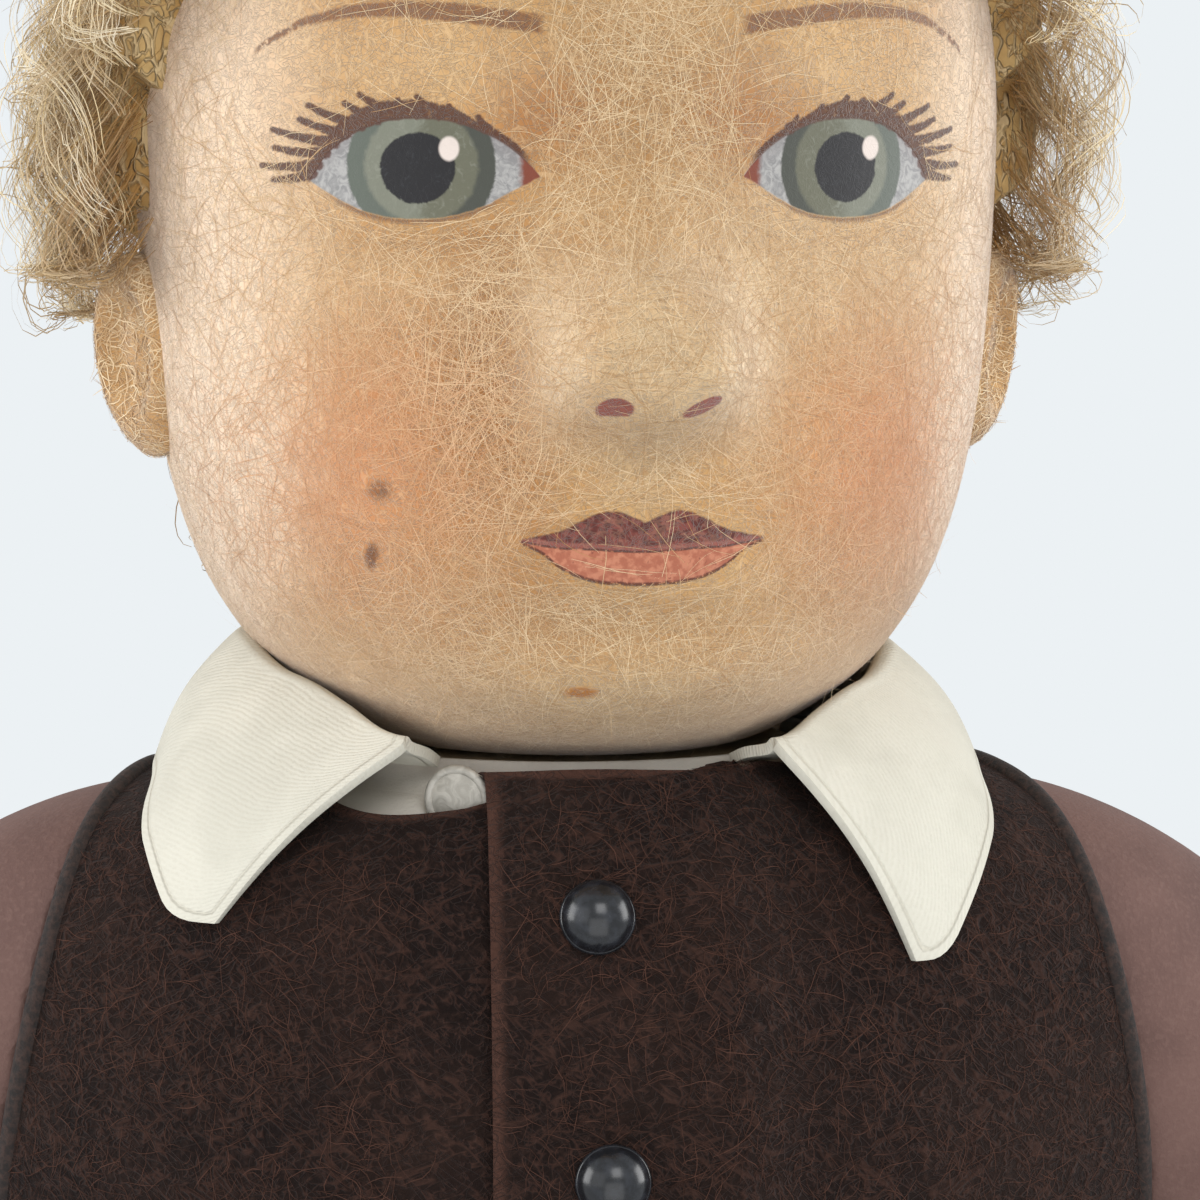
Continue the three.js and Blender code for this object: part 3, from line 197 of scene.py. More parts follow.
def only(obj):
    """Selects one object and makes it active, so that operators act on it alone."""
    if bpy.context.object and bpy.context.object.mode != "OBJECT":
        bpy.ops.object.mode_set(mode="OBJECT")
    bpy.ops.object.select_all(action="DESELECT")
    obj.select_set(True)
    bpy.context.view_layer.objects.active = obj


def apply_modifier(obj, kind, **settings):
    modifier = obj.modifiers.new(kind.lower(), kind)
    for key, value in settings.items():
        setattr(modifier, key, value)
    only(obj)
    bpy.ops.object.modifier_apply(modifier=modifier.name)


def trim(obj, point, normal, fill=False):
    """Cuts away what lies beyond a plane."""
    work = bmesh.new()
    work.from_mesh(obj.data)
    geometry = work.verts[:] + work.edges[:] + work.faces[:]
    where = (np.asarray(point) + [0, AXIS_Y, 0]) * MM
    cut = bmesh.ops.bisect_plane(work, geom=geometry, dist=1e-6, plane_co=where,
                                 plane_no=normal, clear_outer=True)
    if fill:
        edges = [e for e in cut["geom_cut"] if isinstance(e, bmesh.types.BMEdge)]
        bmesh.ops.holes_fill(work, edges=edges)
    work.to_mesh(obj.data)
    work.free()


def thicken(obj, thickness, rounding=0.42):
    """Gives a sheet its thickness, with softly rounded edges."""
    apply_modifier(obj, "SOLIDIFY", thickness=thickness * MM, offset=0, use_even_offset=False)
    apply_modifier(obj, "BEVEL", width=thickness * rounding * MM, segments=2, limit_method="ANGLE",
                   angle_limit=math.radians(50), use_clamp_overlap=True)


def finish_piece(obj, body, look, replaces=()):
    obj.data.materials.clear()
    obj.data.materials.append(look)
    obj.data.polygons.foreach_set("use_smooth", np.ones(len(obj.data.polygons), bool))
    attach(obj, body)
    if replaces:
        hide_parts(*replaces)
    triangles = sum(len(p.vertices) - 2 for p in obj.data.polygons)
    area = sum(p.area for p in obj.data.polygons) * 1e4
    print(f"{obj.name}: {triangles} triangles, {area:.1f} cm2, on {body}")
    return obj


# %% [markdown]
# Finishes are node trees. One small class wraps a socket, so that shader maths reads as plain arithmetic,
# and one method makes every other kind of node. Colours are written as they look, in 0 to 255, and made
# linear here.

# %% Writing finishes


class Wire:
    """A socket whose arithmetic adds Math nodes."""

    def __init__(self, look, socket):
        self.look, self.socket = look, socket

    def _math(self, operation, *values):
        return self.look.node("Math", {"operation": operation}, dict(enumerate(values)))

    def __add__(self, other):
        return self._math("ADD", self, other)

    def __sub__(self, other):
        return self._math("SUBTRACT", self, other)

    def __mul__(self, other):
        return self._math("MULTIPLY", self, other)

    def __truediv__(self, other):
        return self._math("DIVIDE", self, other)

    def __rsub__(self, other):
        return self._math("SUBTRACT", other, self)

    def __abs__(self):
        return self._math("ABSOLUTE", self)

    def __pow__(self, other):
        return self._math("POWER", self, other)

    __radd__ = __add__
    __rmul__ = __mul__

    def least(self, other):
        return self._math("MINIMUM", self, other)

    def most(self, other):
        return self._math("MAXIMUM", self, other)

    def sine(self):
        return self._math("SINE", self)

    def root(self):
        return self._math("SQRT", self)

    def above(self, low, high):
        """0 below low, 1 above high, smooth between."""
        return self.look.node("MapRange", {"interpolation_type": "SMOOTHSTEP"},
                              {"Value": self, "From Min": low, "From Max": high})


def linear(colour):
    share = [c / 255 for c in colour]
    return tuple(c / 12.92 if c <= 0.04045 else ((c + 0.055) / 1.055) ** 2.4 for c in share) + (1.0,)


class Look:
    """A finish: a material whose nodes are written as expressions."""

    def __init__(self, name, tree=None):
        if tree is None:
            self.material = bpy.data.materials.new(name)
            self.material.use_nodes = True
            tree = self.material.node_tree
        self.tree = tree
        self.tree.nodes.clear()

    def node(self, kind, settings=None, sockets=None, out=0):
        made = self.tree.nodes.new("ShaderNode" + kind)
        for key, value in (settings or {}).items():
            if key == "points":
                curve = made.mapping.curves[0]
                for extra in value[2:]:
                    curve.points.new(*extra)
                for point, place in zip(curve.points, sorted(value)):
                    point.location = place
                made.mapping.update()
            else:
                setattr(made, key, value)
        for key, value in (sockets or {}).items():
            if isinstance(value, Wire):
                self.tree.links.new(value.socket, made.inputs[key])
            else:
                made.inputs[key].default_value = value
        return Wire(self, made.outputs[out]) if made.outputs else None

    def place(self):
        """Object coordinates in millimetres from the doll's axis: x, y, z and the whole vector."""
        where = self.node("TexCoord", out="Object")
        move = self.node("VectorMath", {"operation": "MULTIPLY_ADD"},
                         {0: where, 1: (1 / MM,) * 3, 2: (0, -AXIS_Y, 0)})
        split = self.tree.nodes.new("ShaderNodeSeparateXYZ")
        self.tree.links.new(move.socket, split.inputs[0])
        return [Wire(self, s) for s in split.outputs] + [move]

    def noise(self, vector, scale, detail=2.0, rough=0.5, warp=0.0, shift=0.0):
        apart = (shift, 1.7 * shift, 0.6 * shift)
        moved = self.node("VectorMath", {"operation": "ADD"}, {0: vector, 1: apart})
        return self.node("TexNoise", None, {"Vector": moved, "Scale": scale, "Detail": detail,
                                            "Roughness": rough, "Distortion": warp})

    def colours(self, factor, a, b):
        first, second = [c if isinstance(c, Wire) else linear(c) for c in (a, b)]
        values = {0: factor, 6: first, 7: second}
        return self.node("Mix", {"data_type": "RGBA"}, values, out=2)

    def strands(self, vector, scale, thin, shift, lean=None):
        """Hair lines: thin bands where a noise passes its middle value, drawn out along a lean in degrees."""
        if lean is not None:
            turned = self.node("VectorRotate", {"rotation_type": "Y_AXIS"},
                               {"Vector": vector, "Angle": math.radians(lean)})
            vector = self.node("VectorMath", {"operation": "MULTIPLY"}, {0: turned, 1: (0.22, 0.5, 1.0)})
        field = self.noise(vector, scale, 1.0, 0.5, 0.6, shift)
        return 1 - abs(field - 0.5).above(0.0, thin)

    def surface(self, colour, rough=0.9, height=None, depth=0.0002, **constants):
        """Ends the tree: a Principled shader with an optional bump."""
        sockets = {"Base Color": colour if isinstance(colour, Wire) else linear(colour), "Roughness": rough}
        if height is not None:
            relief = {"Strength": 1.0, "Distance": depth, "Height": height}
            sockets["Normal"] = self.node("Bump", None, relief)
        sockets.update(constants)
        shader = self.node("BsdfPrincipled", None, sockets)
        self.node("OutputMaterial", None, {0: shader})
        return self.material


# %% [markdown]
# The head is a pressed felt mask: a plain egg with nose, cheeks, eye hollows and chin raised out of it.
# Its sections and its relief are the ones that the solid has, drawn here with many more points. It could
# be sculpted by hand, but a formula lets the paint and the fibres find the same surface again. It is
# turned a few degrees to the doll's left, as it stands in the picture.

# %% Head form
HEAD_TURN = math.radians(5)
HALF_HEAD = 37.7
HEAD_ROWS = [
    [0, 0.42 * HALF_HEAD, 17.5, 16], [1.2, 0.49 * HALF_HEAD, 23, 19], [4.2, 0.61 * HALF_HEAD, 30, 22.5],
    [9, 0.75 * HALF_HEAD, 35, 27], [17, 0.875 * HALF_HEAD, 37.5, 33], [29, 0.96 * HALF_HEAD, 38.5, 39.5],
    [45, HALF_HEAD, 39, 43.5], [60, HALF_HEAD, 40, 44.5], [74, 0.93 * HALF_HEAD, 38.5, 42.5],
    [86, 0.76 * HALF_HEAD, 32.5, 35.5], [95, 0.49 * HALF_HEAD, 21.5, 24], [100, 0.16 * HALF_HEAD, 7, 8],
]
head_curve = through_rows(HEAD_ROWS)


def oval(curve):
    """A body with separate front and back depths at each height."""
    def surface(t, a):
        z, width, front, back = np.moveaxis(curve(t), -1, 0)
        depth = np.where(np.cos(a) > 0, front, back)
        return np.stack([width * np.sin(a), -depth * np.cos(a), z], -1)
    return surface


skull = oval(head_curve)


def relief(x, z):
    across = np.abs(x)
    bulb = np.exp(-0.5 * ((x / 6.8) ** 2 + ((z - 35.8) / 6.2) ** 2) ** 2)
    nose = (6.0 * bulb + 2.6 * bell(x, 4.4) * bell(z - 44.5, 5.5)
            + 1.8 * bell(across - 7.0, 2.6) * bell(z - 34.0, 3.2))
    eyes = (-1.9 * bell(across - 17, 7) * bell(z - 51, 5)
            + 0.9 * bell(across - 18.2, 6) * bell(z - 50.5, 3.6))
    cheeks = 1.9 * bell(across - 20, 9) * bell(z - 25, 9)
    mouth = 1.5 * bell(x, 9) * bell(z - 19.4, 6) - 0.9 * bell(x, 7) * bell(z - 13, 1.9)
    return nose + eyes + cheeks + mouth + 1.3 * bell(x, 8) * bell(z - 7.6, 3.6)


def face(t, a):
    p = skull(t, a)
    p[..., 1] -= ease(2.2 * np.cos(a)) * relief(p[..., 0], p[..., 2])
    return p


def turned_head(p):
    """From the head's own frame to the doll's."""
    c, s = math.cos(HEAD_TURN), math.sin(HEAD_TURN)
    return np.stack([c * p[..., 0] - s * p[..., 1], s * p[..., 0] + c * p[..., 1], p[..., 2] + NECK_Z], -1)


def closed_loft(rings):
    """Points, quads and triangles of stacked rings with both ends closed."""
    rows, columns = rings.shape[:2]
    points = np.concatenate([rings.reshape(-1, 3), rings[0].mean(0)[None], rings[-1].mean(0)[None]])
    j = np.arange(columns)
    k = (j + 1) % columns
    low = np.stack([np.full(columns, rows * columns), k, j], -1)
    top = (rows - 1) * columns
    high = np.stack([np.full(columns, rows * columns + 1), top + j, top + k], -1)
    return points, grid_quads(rows, columns, True), np.concatenate([low, high])


turns = 2 * np.pi * np.arange(288) / 288
head_angles = turns - 0.42 * np.sin(turns)
rings = grid_of(face, np.linspace(0, 1, 210), head_angles)
crown = [rings[-1] * [k, k, 1] + [0, 0, rise] for k, rise in ((0.75, 0.3), (0.45, 0.5), (0.15, 0.6))]
under = [rings[0] * [k, k, 0] + [0, 0, 0.3] for k in (0.3, 0.8)]
rings[0][:, 2] += 0.3
rings = np.concatenate([np.array(under), rings, np.array(crown)])
felt_head = new_object("felt_head", *(lambda p, q, t: (turned_head(p), q, t))(*closed_loft(rings)))
print("felt head:", len(felt_head.data.polygons), "faces")

# %% [markdown]
# The skin is felt: matted wool, pale hairs over a tan ground with darker gaps. On the face it is also the
# canvas for oil paint: eyes, lashes, brows, lips and nostrils. Light and shade on the face's relief are
# painted into its colour too: highlights on nose and chin, painted sheen towards the edges, painted light
# on the doll's left side and painted shade in hollows, creases and on its right side. Both eyes are one
# drawing, read with x mirrored, and only the lights in the pupils are not mirrored. Lid and lip outlines
# are Float Curve nodes through measured points: a painted picture would do too, but it blurs close by and
# nodes don't.

# %% Felt skin with its painted features
LID_TOP = [(8.4, 50.0), (9.4, 51.2), (11.4, 52.9), (13.1, 53.8), (15, 54.5), (17.3, 54.8),
           (19.7, 54.7), (21.6, 54.2), (23.3, 53.2), (24.7, 52), (25.7, 50.4), (26.1, 49.6)]
LID_LOW = [(8.4, 50.0), (9.6, 49.4), (11.5, 48.3), (13.8, 47.2), (16.7, 46.6), (19.6, 46.6),
           (21.6, 47), (23.2, 47.7), (25, 48.8), (26.1, 49.6)]
BROW = [(8, 62.3), (12, 62.9), (16, 63.4), (21, 63.6), (25, 63.1), (28, 61.8), (30.8, 59.5)]
LIP_TOP = [(0, 21.8), (1.2, 22.3), (2.6, 22.75), (3.9, 22.55), (5.2, 22), (6.6, 21.25),
           (8.4, 20.75), (10.4, 20.35)]
LIP_LINE = [(0, 19.4), (2.4, 19.5), (4.7, 19.65), (7, 19.75), (8.4, 19.95), (10.4, 20.3)]
LIP_LOW = [(0, 16.65), (1.6, 16.75), (3.8, 16.95), (5.6, 17.5), (7.1, 18.3), (8.4, 19.35), (10.4, 20.25)]
LASH_ROOTS = [12.6, 14.6, 16.3, 18.0, 19.6, 21.0, 22.3, 23.4, 24.3, 25.0, 25.6, 26.0]
LASH_LEANS = [35, 44, 50, 55, 60, 64, 68, 72, 77, 84, 92, 101]
LASH_LENGTHS = [1.1, 1.4, 2.2, 1.8, 3.2, 2.8, 4.2, 3.6, 4.6, 3.8, 4.0, 2.8]
# Old stains on the cheek and chin: x and height.
STAINS = [(-21.0, 24.2), (-21.4, 18.6), (-4.5, 7.4)]
# Painted light and shade, blush and other tints: x, height, half width, half height, mirrored, colour, share.
LIGHT_SHADE_AND_TINTS = [
    # Paler nose bulb, worn felt with a painted highlight; painted light on the nose's flank on the doll's
    # left.
    (0, 36, 8.5, 6.5, True, (216, 192, 154), 0.7), (10, 40, 4.5, 9, False, (216, 192, 156), 0.5),
    # Painted shade on the nose's flank on the doll's right; darker between the brows.
    (-9.5, 40, 4, 8, False, (172, 126, 78), 0.6), (0, 57, 8, 7, True, (150, 114, 74), 0.6),
    # Painted shade in the hollows by the inner eye corners; a paler band under the brows.
    (8.5, 55.5, 5, 4, True, (160, 104, 60), 0.65), (19, 59.2, 10, 3, True, (206, 172, 128), 0.45),
    # A thin painted shade under the eyes; a paler band below it.
    (17, 44.4, 8, 1.3, True, (164, 118, 72), 0.55), (18, 41, 9, 2.6, True, (208, 172, 128), 0.35),
    # Painted light under the doll's left eye; the blush on both cheeks.
    (20, 42, 11, 6, False, (210, 182, 142), 0.5), (22.5, 26, 9.5, 9.5, True, (202, 134, 88), 0.75),
    # Painted shade in the fold beside the nose on the doll's right; darker beside the mouth on that side.
    (-12, 30, 6, 9, False, (154, 104, 58), 0.75), (-15, 15, 7, 6, False, (164, 114, 66), 0.55),
    # Painted shade in the groove over the upper lip and in the crease under the lower lip.
    (0, 26.5, 3, 4, True, (180, 152, 114), 0.6), (0, 12.8, 8, 2.4, True, (168, 126, 82), 0.55),
    # A painted highlight on the chin; painted sheen along the jaw's edges.
    (0, 6.5, 9, 4, True, (200, 172, 130), 0.5), (34, 30, 6, 18, True, (228, 198, 168), 0.7),
    # Painted light on the doll's left temple; painted shade under the hairline.
    (33, 52, 6, 10, False, (226, 202, 168), 0.6), (0, 70, 30, 6, True, (174, 140, 100), 0.4),
    # Painted highlights on both sides of the nose bulb; painted sheen on the outer cheeks.
    (8.4, 36, 2.4, 6, True, (244, 220, 184), 0.85), (30, 44, 6, 14, True, (224, 192, 152), 0.45),
    # Painted shade beside the nose on the doll's right; darker over the bridge between the eyes.
    (-12.5, 35, 3.6, 9, False, (144, 96, 52), 0.75), (-4.5, 52, 4.5, 9, True, (164, 120, 76), 0.4),
]


def drawn_curve(look, across, points):
    """A height read from a smooth curve through points, in millimetres."""
    low, high = points[0][0], points[-1][0]
    floor, top = min(z for _, z in points) - 1, max(z for _, z in points) + 1
    share = look.node("MapRange", None, {"Value": across, "From Min": low, "From Max": high})
    shape = [((x - low) / (high - low), (z - floor) / (top - floor)) for x, z in points]
    value = look.node("FloatCurve", {"points": [shape[0], shape[-1], *shape[1:-1]]}, {"Value": share})
    return value * (top - floor) + floor


def felt_skin(name, painted):
    look = Look(name)
    x, y, z, where = look.place()
    cloudy = look.noise(where, 0.07, 4, 0.6)
    mottle = look.noise(where, 0.6, 4, 0.65, 0.3, 5)
    grain = look.noise(where, 3.0, 3, 0.7, 0.0, 12)
    hairs = look.strands(where, 1.2, 0.025, 11, 4)
    for shift, lean, scale in ((23, 32, 1.5), (37, -28, 1.4), (51, 78, 1.6), (67, -62, 1.5)):
        hairs = hairs.most(look.strands(where, scale, 0.025, shift, lean) * 0.9)
    colour = look.colours(cloudy.above(0.3, 0.7), (179, 134, 84), (198, 156, 102))
    height = hairs * 0.5 + mottle * 0.5 + grain * 0.5
    if painted:
        c, s = math.cos(HEAD_TURN), math.sin(HEAD_TURN)
        fx = x * c + y * s
        fy = y * c - x * s
        fz = z - NECK_Z
        wob = (look.noise(where, 0.9, 2, 0.6, 0, 3) - 0.5) * 0.5
        side = abs(fx) + wob * 0.35
        up = fz + wob * 0.35
        front = (0 - fy).above(6, 9)

        def blob(cx, cz, rx, rz, soft, mirrored=True):
            dx = ((side if mirrored else fx) - cx) / rx
            dz = (up - cz) / rz
            return 1 - (dx * dx + dz * dz).root().above(1 - soft, 1 + soft)

        # Painted light and shade on the relief, the blush and other tints, each a soft oval.
        for cx, cz, rx, rz, mirrored, patch_colour, share in LIGHT_SHADE_AND_TINTS:
            colour = look.colours(blob(cx, cz, rx, rz, 0.9, mirrored) * front * share, colour, patch_colour)
        # Painted sheen: the face turns paler towards its sides.
        colour = look.colours(side.above(23, 35) * 0.95, colour, (238, 211, 182))
        # Painted light: the lowest part of the face, beside the chin, is paler where it faces down.
        colour = look.colours((1 - up.above(2, 13)) * side.above(3, 20) * 0.5, colour, (232, 202, 162))
    colour = look.colours(mottle.above(0.5, 0.28) * 0.25, colour, (160, 116, 70))
    colour = look.colours(hairs * 0.25, colour, (228, 204, 164))
    felt = {"Sheen Weight": 0.5, "Sheen Roughness": 0.5, "Specular IOR Level": 0.12}
    if not painted:
        return look.surface(colour, 0.95, height, 0.00013, **felt)

    worn = look.noise(where, 2.2, 3, 0.65, 0.6, 9)
    specks = look.noise(where, 1.5, 2, 0.5, 0, 19)
    # Brows: one stroke, broken up towards its outer end.
    brow = drawn_curve(look, side, BROW)
    stroke = (0.82 - side.above(14, 31) * 0.5) + (worn - 0.5) * 0.5
    off = abs(up - brow)
    brows = (1 - (off - stroke).above(-0.22, 0.12)) * side.above(8.0, 8.8) * (1 - side.above(29.6, 30.6))
    brows = brows * (1 - specks.above(0.5, 0.62) * side.above(25, 29))
    colour = look.colours(brows * 0.9, colour, (128, 88, 60))
    # Eyes: white, iris of two grey greens, pupil, light.
    top = drawn_curve(look, side, LID_TOP)
    low = drawn_curve(look, side, LID_LOW)
    open_eye = (top - up).above(-0.12, 0.12) * (up - low).above(-0.12, 0.12)
    open_eye = open_eye * side.above(8.3, 8.5) * (1 - side.above(26.0, 26.2))
    brush = look.noise(where, 1.1, 3, 0.6, 1.5, 41)
    white = look.colours(brush.above(0.35, 0.65), (134, 133, 132), (168, 166, 163))
    # Painted shadow of the upper lid: the white is darker just under it.
    white = look.colours((top - up).above(1.8, 0.2) * 0.45, white, (128, 122, 122))
    dx = side - 17.6
    dz = (up - 50.9) * 0.94
    round_eye = (dx * dx + dz * dz).root()
    outward = (dx + (brush - 0.5) * 2).above(-0.6, 0.6)
    ring = look.colours(outward, (70, 72, 65), (92, 98, 89))
    inner = look.colours(outward, (100, 100, 84), (118, 120, 106))
    inner = look.colours(brush.above(0.5, 0.75) * 0.35, inner, (146, 147, 134))
    iris = look.colours((round_eye + (brush - 0.5) * 0.5).above(4.15, 4.6), inner, ring)
    eye = look.colours((round_eye + (brush - 0.5) * 0.25).above(5.6, 5.85), iris, white)
    dx = side - 17.9
    dz = up - 50.7
    pupil = 1 - ((dx * dx + dz * dz).root() + (brush - 0.5) * 0.3).above(2.8, 3.0)
    black = look.colours(brush.above(0.55, 0.8) * 0.5, (33, 32, 34), (66, 68, 72))
    eye = look.colours(pupil, eye, black)
    for middle_x in (-15.5, 20.3):
        light = blob(middle_x, 52.3, 0.78, 0.98, 0.16, False)
        eye = look.colours(light, eye, (216, 203, 194))
    corner = 1 - (side + (worn - 0.5) * 0.6).above(9.6, 10.2)
    eye = look.colours(corner, eye, (120, 62, 46))
    colour = look.colours(open_eye * front, colour, eye)
    # Upper lid line, thickest over the outer half, and the lashes drawn out of it.
    thick = 0.65 + side.above(13, 18) * 0.75 + side.above(18, 22) * 0.3 - side.above(23.5, 26) * 0.6
    rim = (up - top).above(-0.22, 0.0) * (1 - (up - top - thick + (worn - 0.5) * 0.5).above(-0.15, 0.15))
    rim = rim * side.above(8.8, 10) * (1 - side.above(26.0, 26.5))
    lash = rim
    for ax, lean, long in zip(LASH_ROOTS, LASH_LEANS, LASH_LENGTHS):
        az = float(np.interp(ax, [q[0] for q in LID_TOP], [q[1] for q in LID_TOP])) + 0.4
        ex, ez = long * math.sin(math.radians(lean)), long * math.cos(math.radians(lean))
        share = (((side - ax) * ex + (up - az) * ez) / (ex * ex + ez * ez)).most(0.0).least(1.0)
        px = side - ax - share * ex
        pz = up - az - share * ez + (share * (1 - share)) * 0.6
        width = 0.5 - share * 0.26 + (worn - 0.5) * 0.4
        lash = lash.most(1 - ((px * px + pz * pz).root() - width).above(-0.1, 0.12))
    colour = look.colours(lash * front * (0.95 - worn.above(0.55, 0.8) * 0.3), colour, (84, 54, 44))
    # Painted shade: a thin darker line just under the lower lid.
    under = low - up
    below = under.above(0.0, 0.12) * (1 - under.above(0.2, 0.6))
    below = below * side.above(10, 13) * (1 - side.above(23, 26))
    colour = look.colours(below * 0.7, colour, (118, 84, 60))
    # Nostrils.
    left = blob(-3.3, 31.35, 1.5, 0.95, 0.1, False) * up.above(30.7, 30.9)
    tilt = up - 31.5 - (fx - 3.95) * 0.4
    right = 1 - ((((fx - 3.95) / 1.65) ** 2.0) + ((tilt / 0.6) ** 2.0)).root().above(0.88, 1.12)
    colour = look.colours(left.most(right) * front, colour, (140, 78, 64))
    # Lips: dull maroon above, salmon below, a broken dark edge round both.
    lip_top = drawn_curve(look, side, LIP_TOP)
    lip_line = drawn_curve(look, side, LIP_LINE)
    lip_low = drawn_curve(look, side, LIP_LOW)
    ends = 1 - side.above(9.9, 10.4)
    upper = (lip_top - up).above(-0.12, 0.1) * (up - lip_line).above(-0.08, 0.06) * ends
    lower = (lip_line - up).above(-0.06, 0.08) * (up - lip_low).above(-0.1, 0.1) * ends
    maroon = look.colours(specks.above(0.42, 0.6), (92, 48, 43), (126, 70, 62))
    maroon = look.colours(1 - (up - lip_line).above(0.35, 0.6), maroon, (142, 84, 74))
    maroon = look.colours(hairs * 0.2, maroon, (190, 150, 124))
    salmon = look.colours(specks.above(0.4, 0.62), (166, 98, 74), (190, 124, 96))
    salmon = look.colours(worn.above(0.62, 0.72) * 0.8, salmon, (120, 62, 50))
    colour = look.colours(upper * front, colour, maroon)
    colour = look.colours(lower * front, colour, salmon)
    edge = (1 - abs(up - lip_low).above(0.08, 0.24)).most(1 - abs(up - lip_line).above(0.03, 0.16))
    edge = edge.most((1 - abs(up - lip_top).above(0.04, 0.16)) * 0.5)
    colour = look.colours(edge * ends * front * worn.above(0.36, 0.5) * 0.85, colour, (78, 36, 30))
    # Stains, broken up by the same worn noise as the paint.
    high, middle, chin = STAINS
    stain = (blob(*high, 0.9, 0.8, 0.6, False) * 0.7).most(blob(*middle, 0.5, 1.1, 0.5, False) * 0.9)
    colour = look.colours(stain * worn.above(0.32, 0.46) * front, colour, (112, 66, 28))
    stain = blob(*chin, 1.3, 0.5, 0.5, False)
    colour = look.colours(stain * worn.above(0.32, 0.44) * front, colour, (168, 106, 34))
    paint = open_eye.most(lower) * front
    height = height * (1 - paint * 0.85) + brush * paint * 0.15
    return look.surface(colour, 0.95 - paint * 0.45, height, 0.00013, **felt)


face_look = felt_skin("felt_skin_painted", True)
skin_look = felt_skin("felt_skin_plain", False)
finish_piece(felt_head, "head", face_look, ("face_mask", "head_back", "head_stuffing"))

# %% [markdown]
# Felt is not smooth in outline: single hairs lie over it in every direction. A texture alone loses them
# at the edge, so thousands of thin ribbons are traced over the surface, each one turning a little as it
# goes. A fibre's colour comes from its own map: one number for its tone and one for where it grows.

# %% Fibres over felt
FIBRE_STEPS = 5


def ribbon_mesh(name, paths, sides, tones, shades):
    """Ribbons along paths (count, steps, 3) with half-width vectors of the same shape."""
    count, steps = paths.shape[:2]
    points = np.stack([paths - sides, paths + sides], 2).reshape(-1, 3)
    k = np.arange(steps - 1)
    one = np.stack([2 * k, 2 * k + 1, 2 * k + 3, 2 * k + 2], -1)
    quads = (np.arange(count) * 2 * steps)[:, None, None] + one[None]
    spread = [np.broadcast_to(k, (count, steps)) for k in (tones, shades)]
    uv = np.repeat(np.stack(spread, -1).reshape(-1, 2), 2, axis=0)
    return new_object(name, points, quads.reshape(-1, 4), uvs={"OFBake": uv})


def sow(surface, area, count, random, weight=None):
    """Places on a surface, spread evenly by its own area, or by a weight on its points."""
    t0, t1, a0, a1 = area
    n = 90
    t, a = np.meshgrid(t0 + (t1 - t0) * (np.arange(n) + 0.5) / n, a0 + (a1 - a0) * (np.arange(n) + 0.5) / n,
                       indexing="ij")
    d = 1e-3
    along, across = surface(t + d, a) - surface(t - d, a), surface(t, a + d) - surface(t, a - d)
    size = np.linalg.norm(np.cross(along, across), axis=-1)
    if weight is not None:
        size = size * weight(surface(t, a))
    pick = random.choice(n * n, count, p=size.ravel() / size.sum())
    jitter = random.random((2, count)) - 0.5
    return t.ravel()[pick] + jitter[0] * (t1 - t0) / n, a.ravel()[pick] + jitter[1] * (a1 - a0) / n


def walk(surface, t, a, heading, pace, steps, turn, limits, hold=None):
    """Steps over a surface: places, normals and directions, each (count, steps + 1, 3)."""
    d = 1e-3
    places, normals, ways = [], [], []
    for _ in range(steps + 1):
        here = surface(t, a)
        jt = (surface(t + d, a) - here) / d
        ja = (surface(t, a + d) - here) / d
        normal = unit(np.cross(ja, jt))
        east = unit(ja)
        way = np.cos(heading)[:, None] * east + np.sin(heading)[:, None] * np.cross(normal, east)
        places.append(here)
        normals.append(normal)
        ways.append(way)
        go = way * (pace if hold is None else pace * hold(here))[:, None]
        e, f, g = (jt * jt).sum(-1), (jt * ja).sum(-1), (ja * ja).sum(-1)
        gt, ga = (go * jt).sum(-1), (go * ja).sum(-1)
        det = np.maximum(e * g - f * f, 1e-9)
        t = np.clip(t + (gt * g - ga * f) / det, limits[0], limits[1])
        a = a + (ga * e - gt * f) / det
        heading = heading + turn()
    return np.stack(places, 1), np.stack(normals, 1), np.stack(ways, 1)


def fibres(name, surface, area, count, seed, length, width, lift, curl, weight=None, keep=None, place=None,
           shade=None, loose=0.08):
    """Curved hairs lying on a surface; a share of them lift their ends away from it."""
    random = np.random.default_rng(seed)
    t, a = sow(surface, area, count, random, weight)
    heading = random.uniform(0, 2 * np.pi, count)
    bend = random.normal(0, curl, count)
    long = random.uniform(*length, count)
    stray = (random.random(count) < loose) * random.uniform(0.3, 1.5, count)
    base = random.uniform(0.02, lift, count)
    start = surface(t, a)
    places, normals, ways = walk(surface, t, a, heading, long / FIBRE_STEPS, FIBRE_STEPS,
                                 lambda: bend + random.normal(0, curl, count), area)
    share = np.linspace(0, 1, FIBRE_STEPS + 1)
    rise = (np.multiply.outer(base, np.sin(np.pi * np.minimum(share + 0.12, 1)))
            + np.multiply.outer(stray, (np.abs(share - 0.35) / 0.65) ** 2))
    paths = places + normals * rise[..., None]
    along = unit(np.gradient(paths, axis=1))
    taper = np.sin(np.pi * np.linspace(0.08, 0.96, FIBRE_STEPS + 1)) ** 0.5
    half = random.uniform(*width, count)[:, None, None] * taper[None, :, None] / 2
    sides = unit(np.cross(normals, along)) * half
    tones = random.uniform(0.02, 0.98, count)
    shades = np.full(count, 0.5) if shade is None else np.clip(shade(start), 0.02, 0.98)
    if keep is not None:
        good = keep(paths, random)
        paths, sides, tones, shades = paths[good], sides[good], tones[good], shades[good]
    if place is not None:
        tips = place(paths + sides)
        paths = place(paths)
        sides = tips - paths
    return ribbon_mesh(name, paths, sides, tones[:, None], shades[:, None])


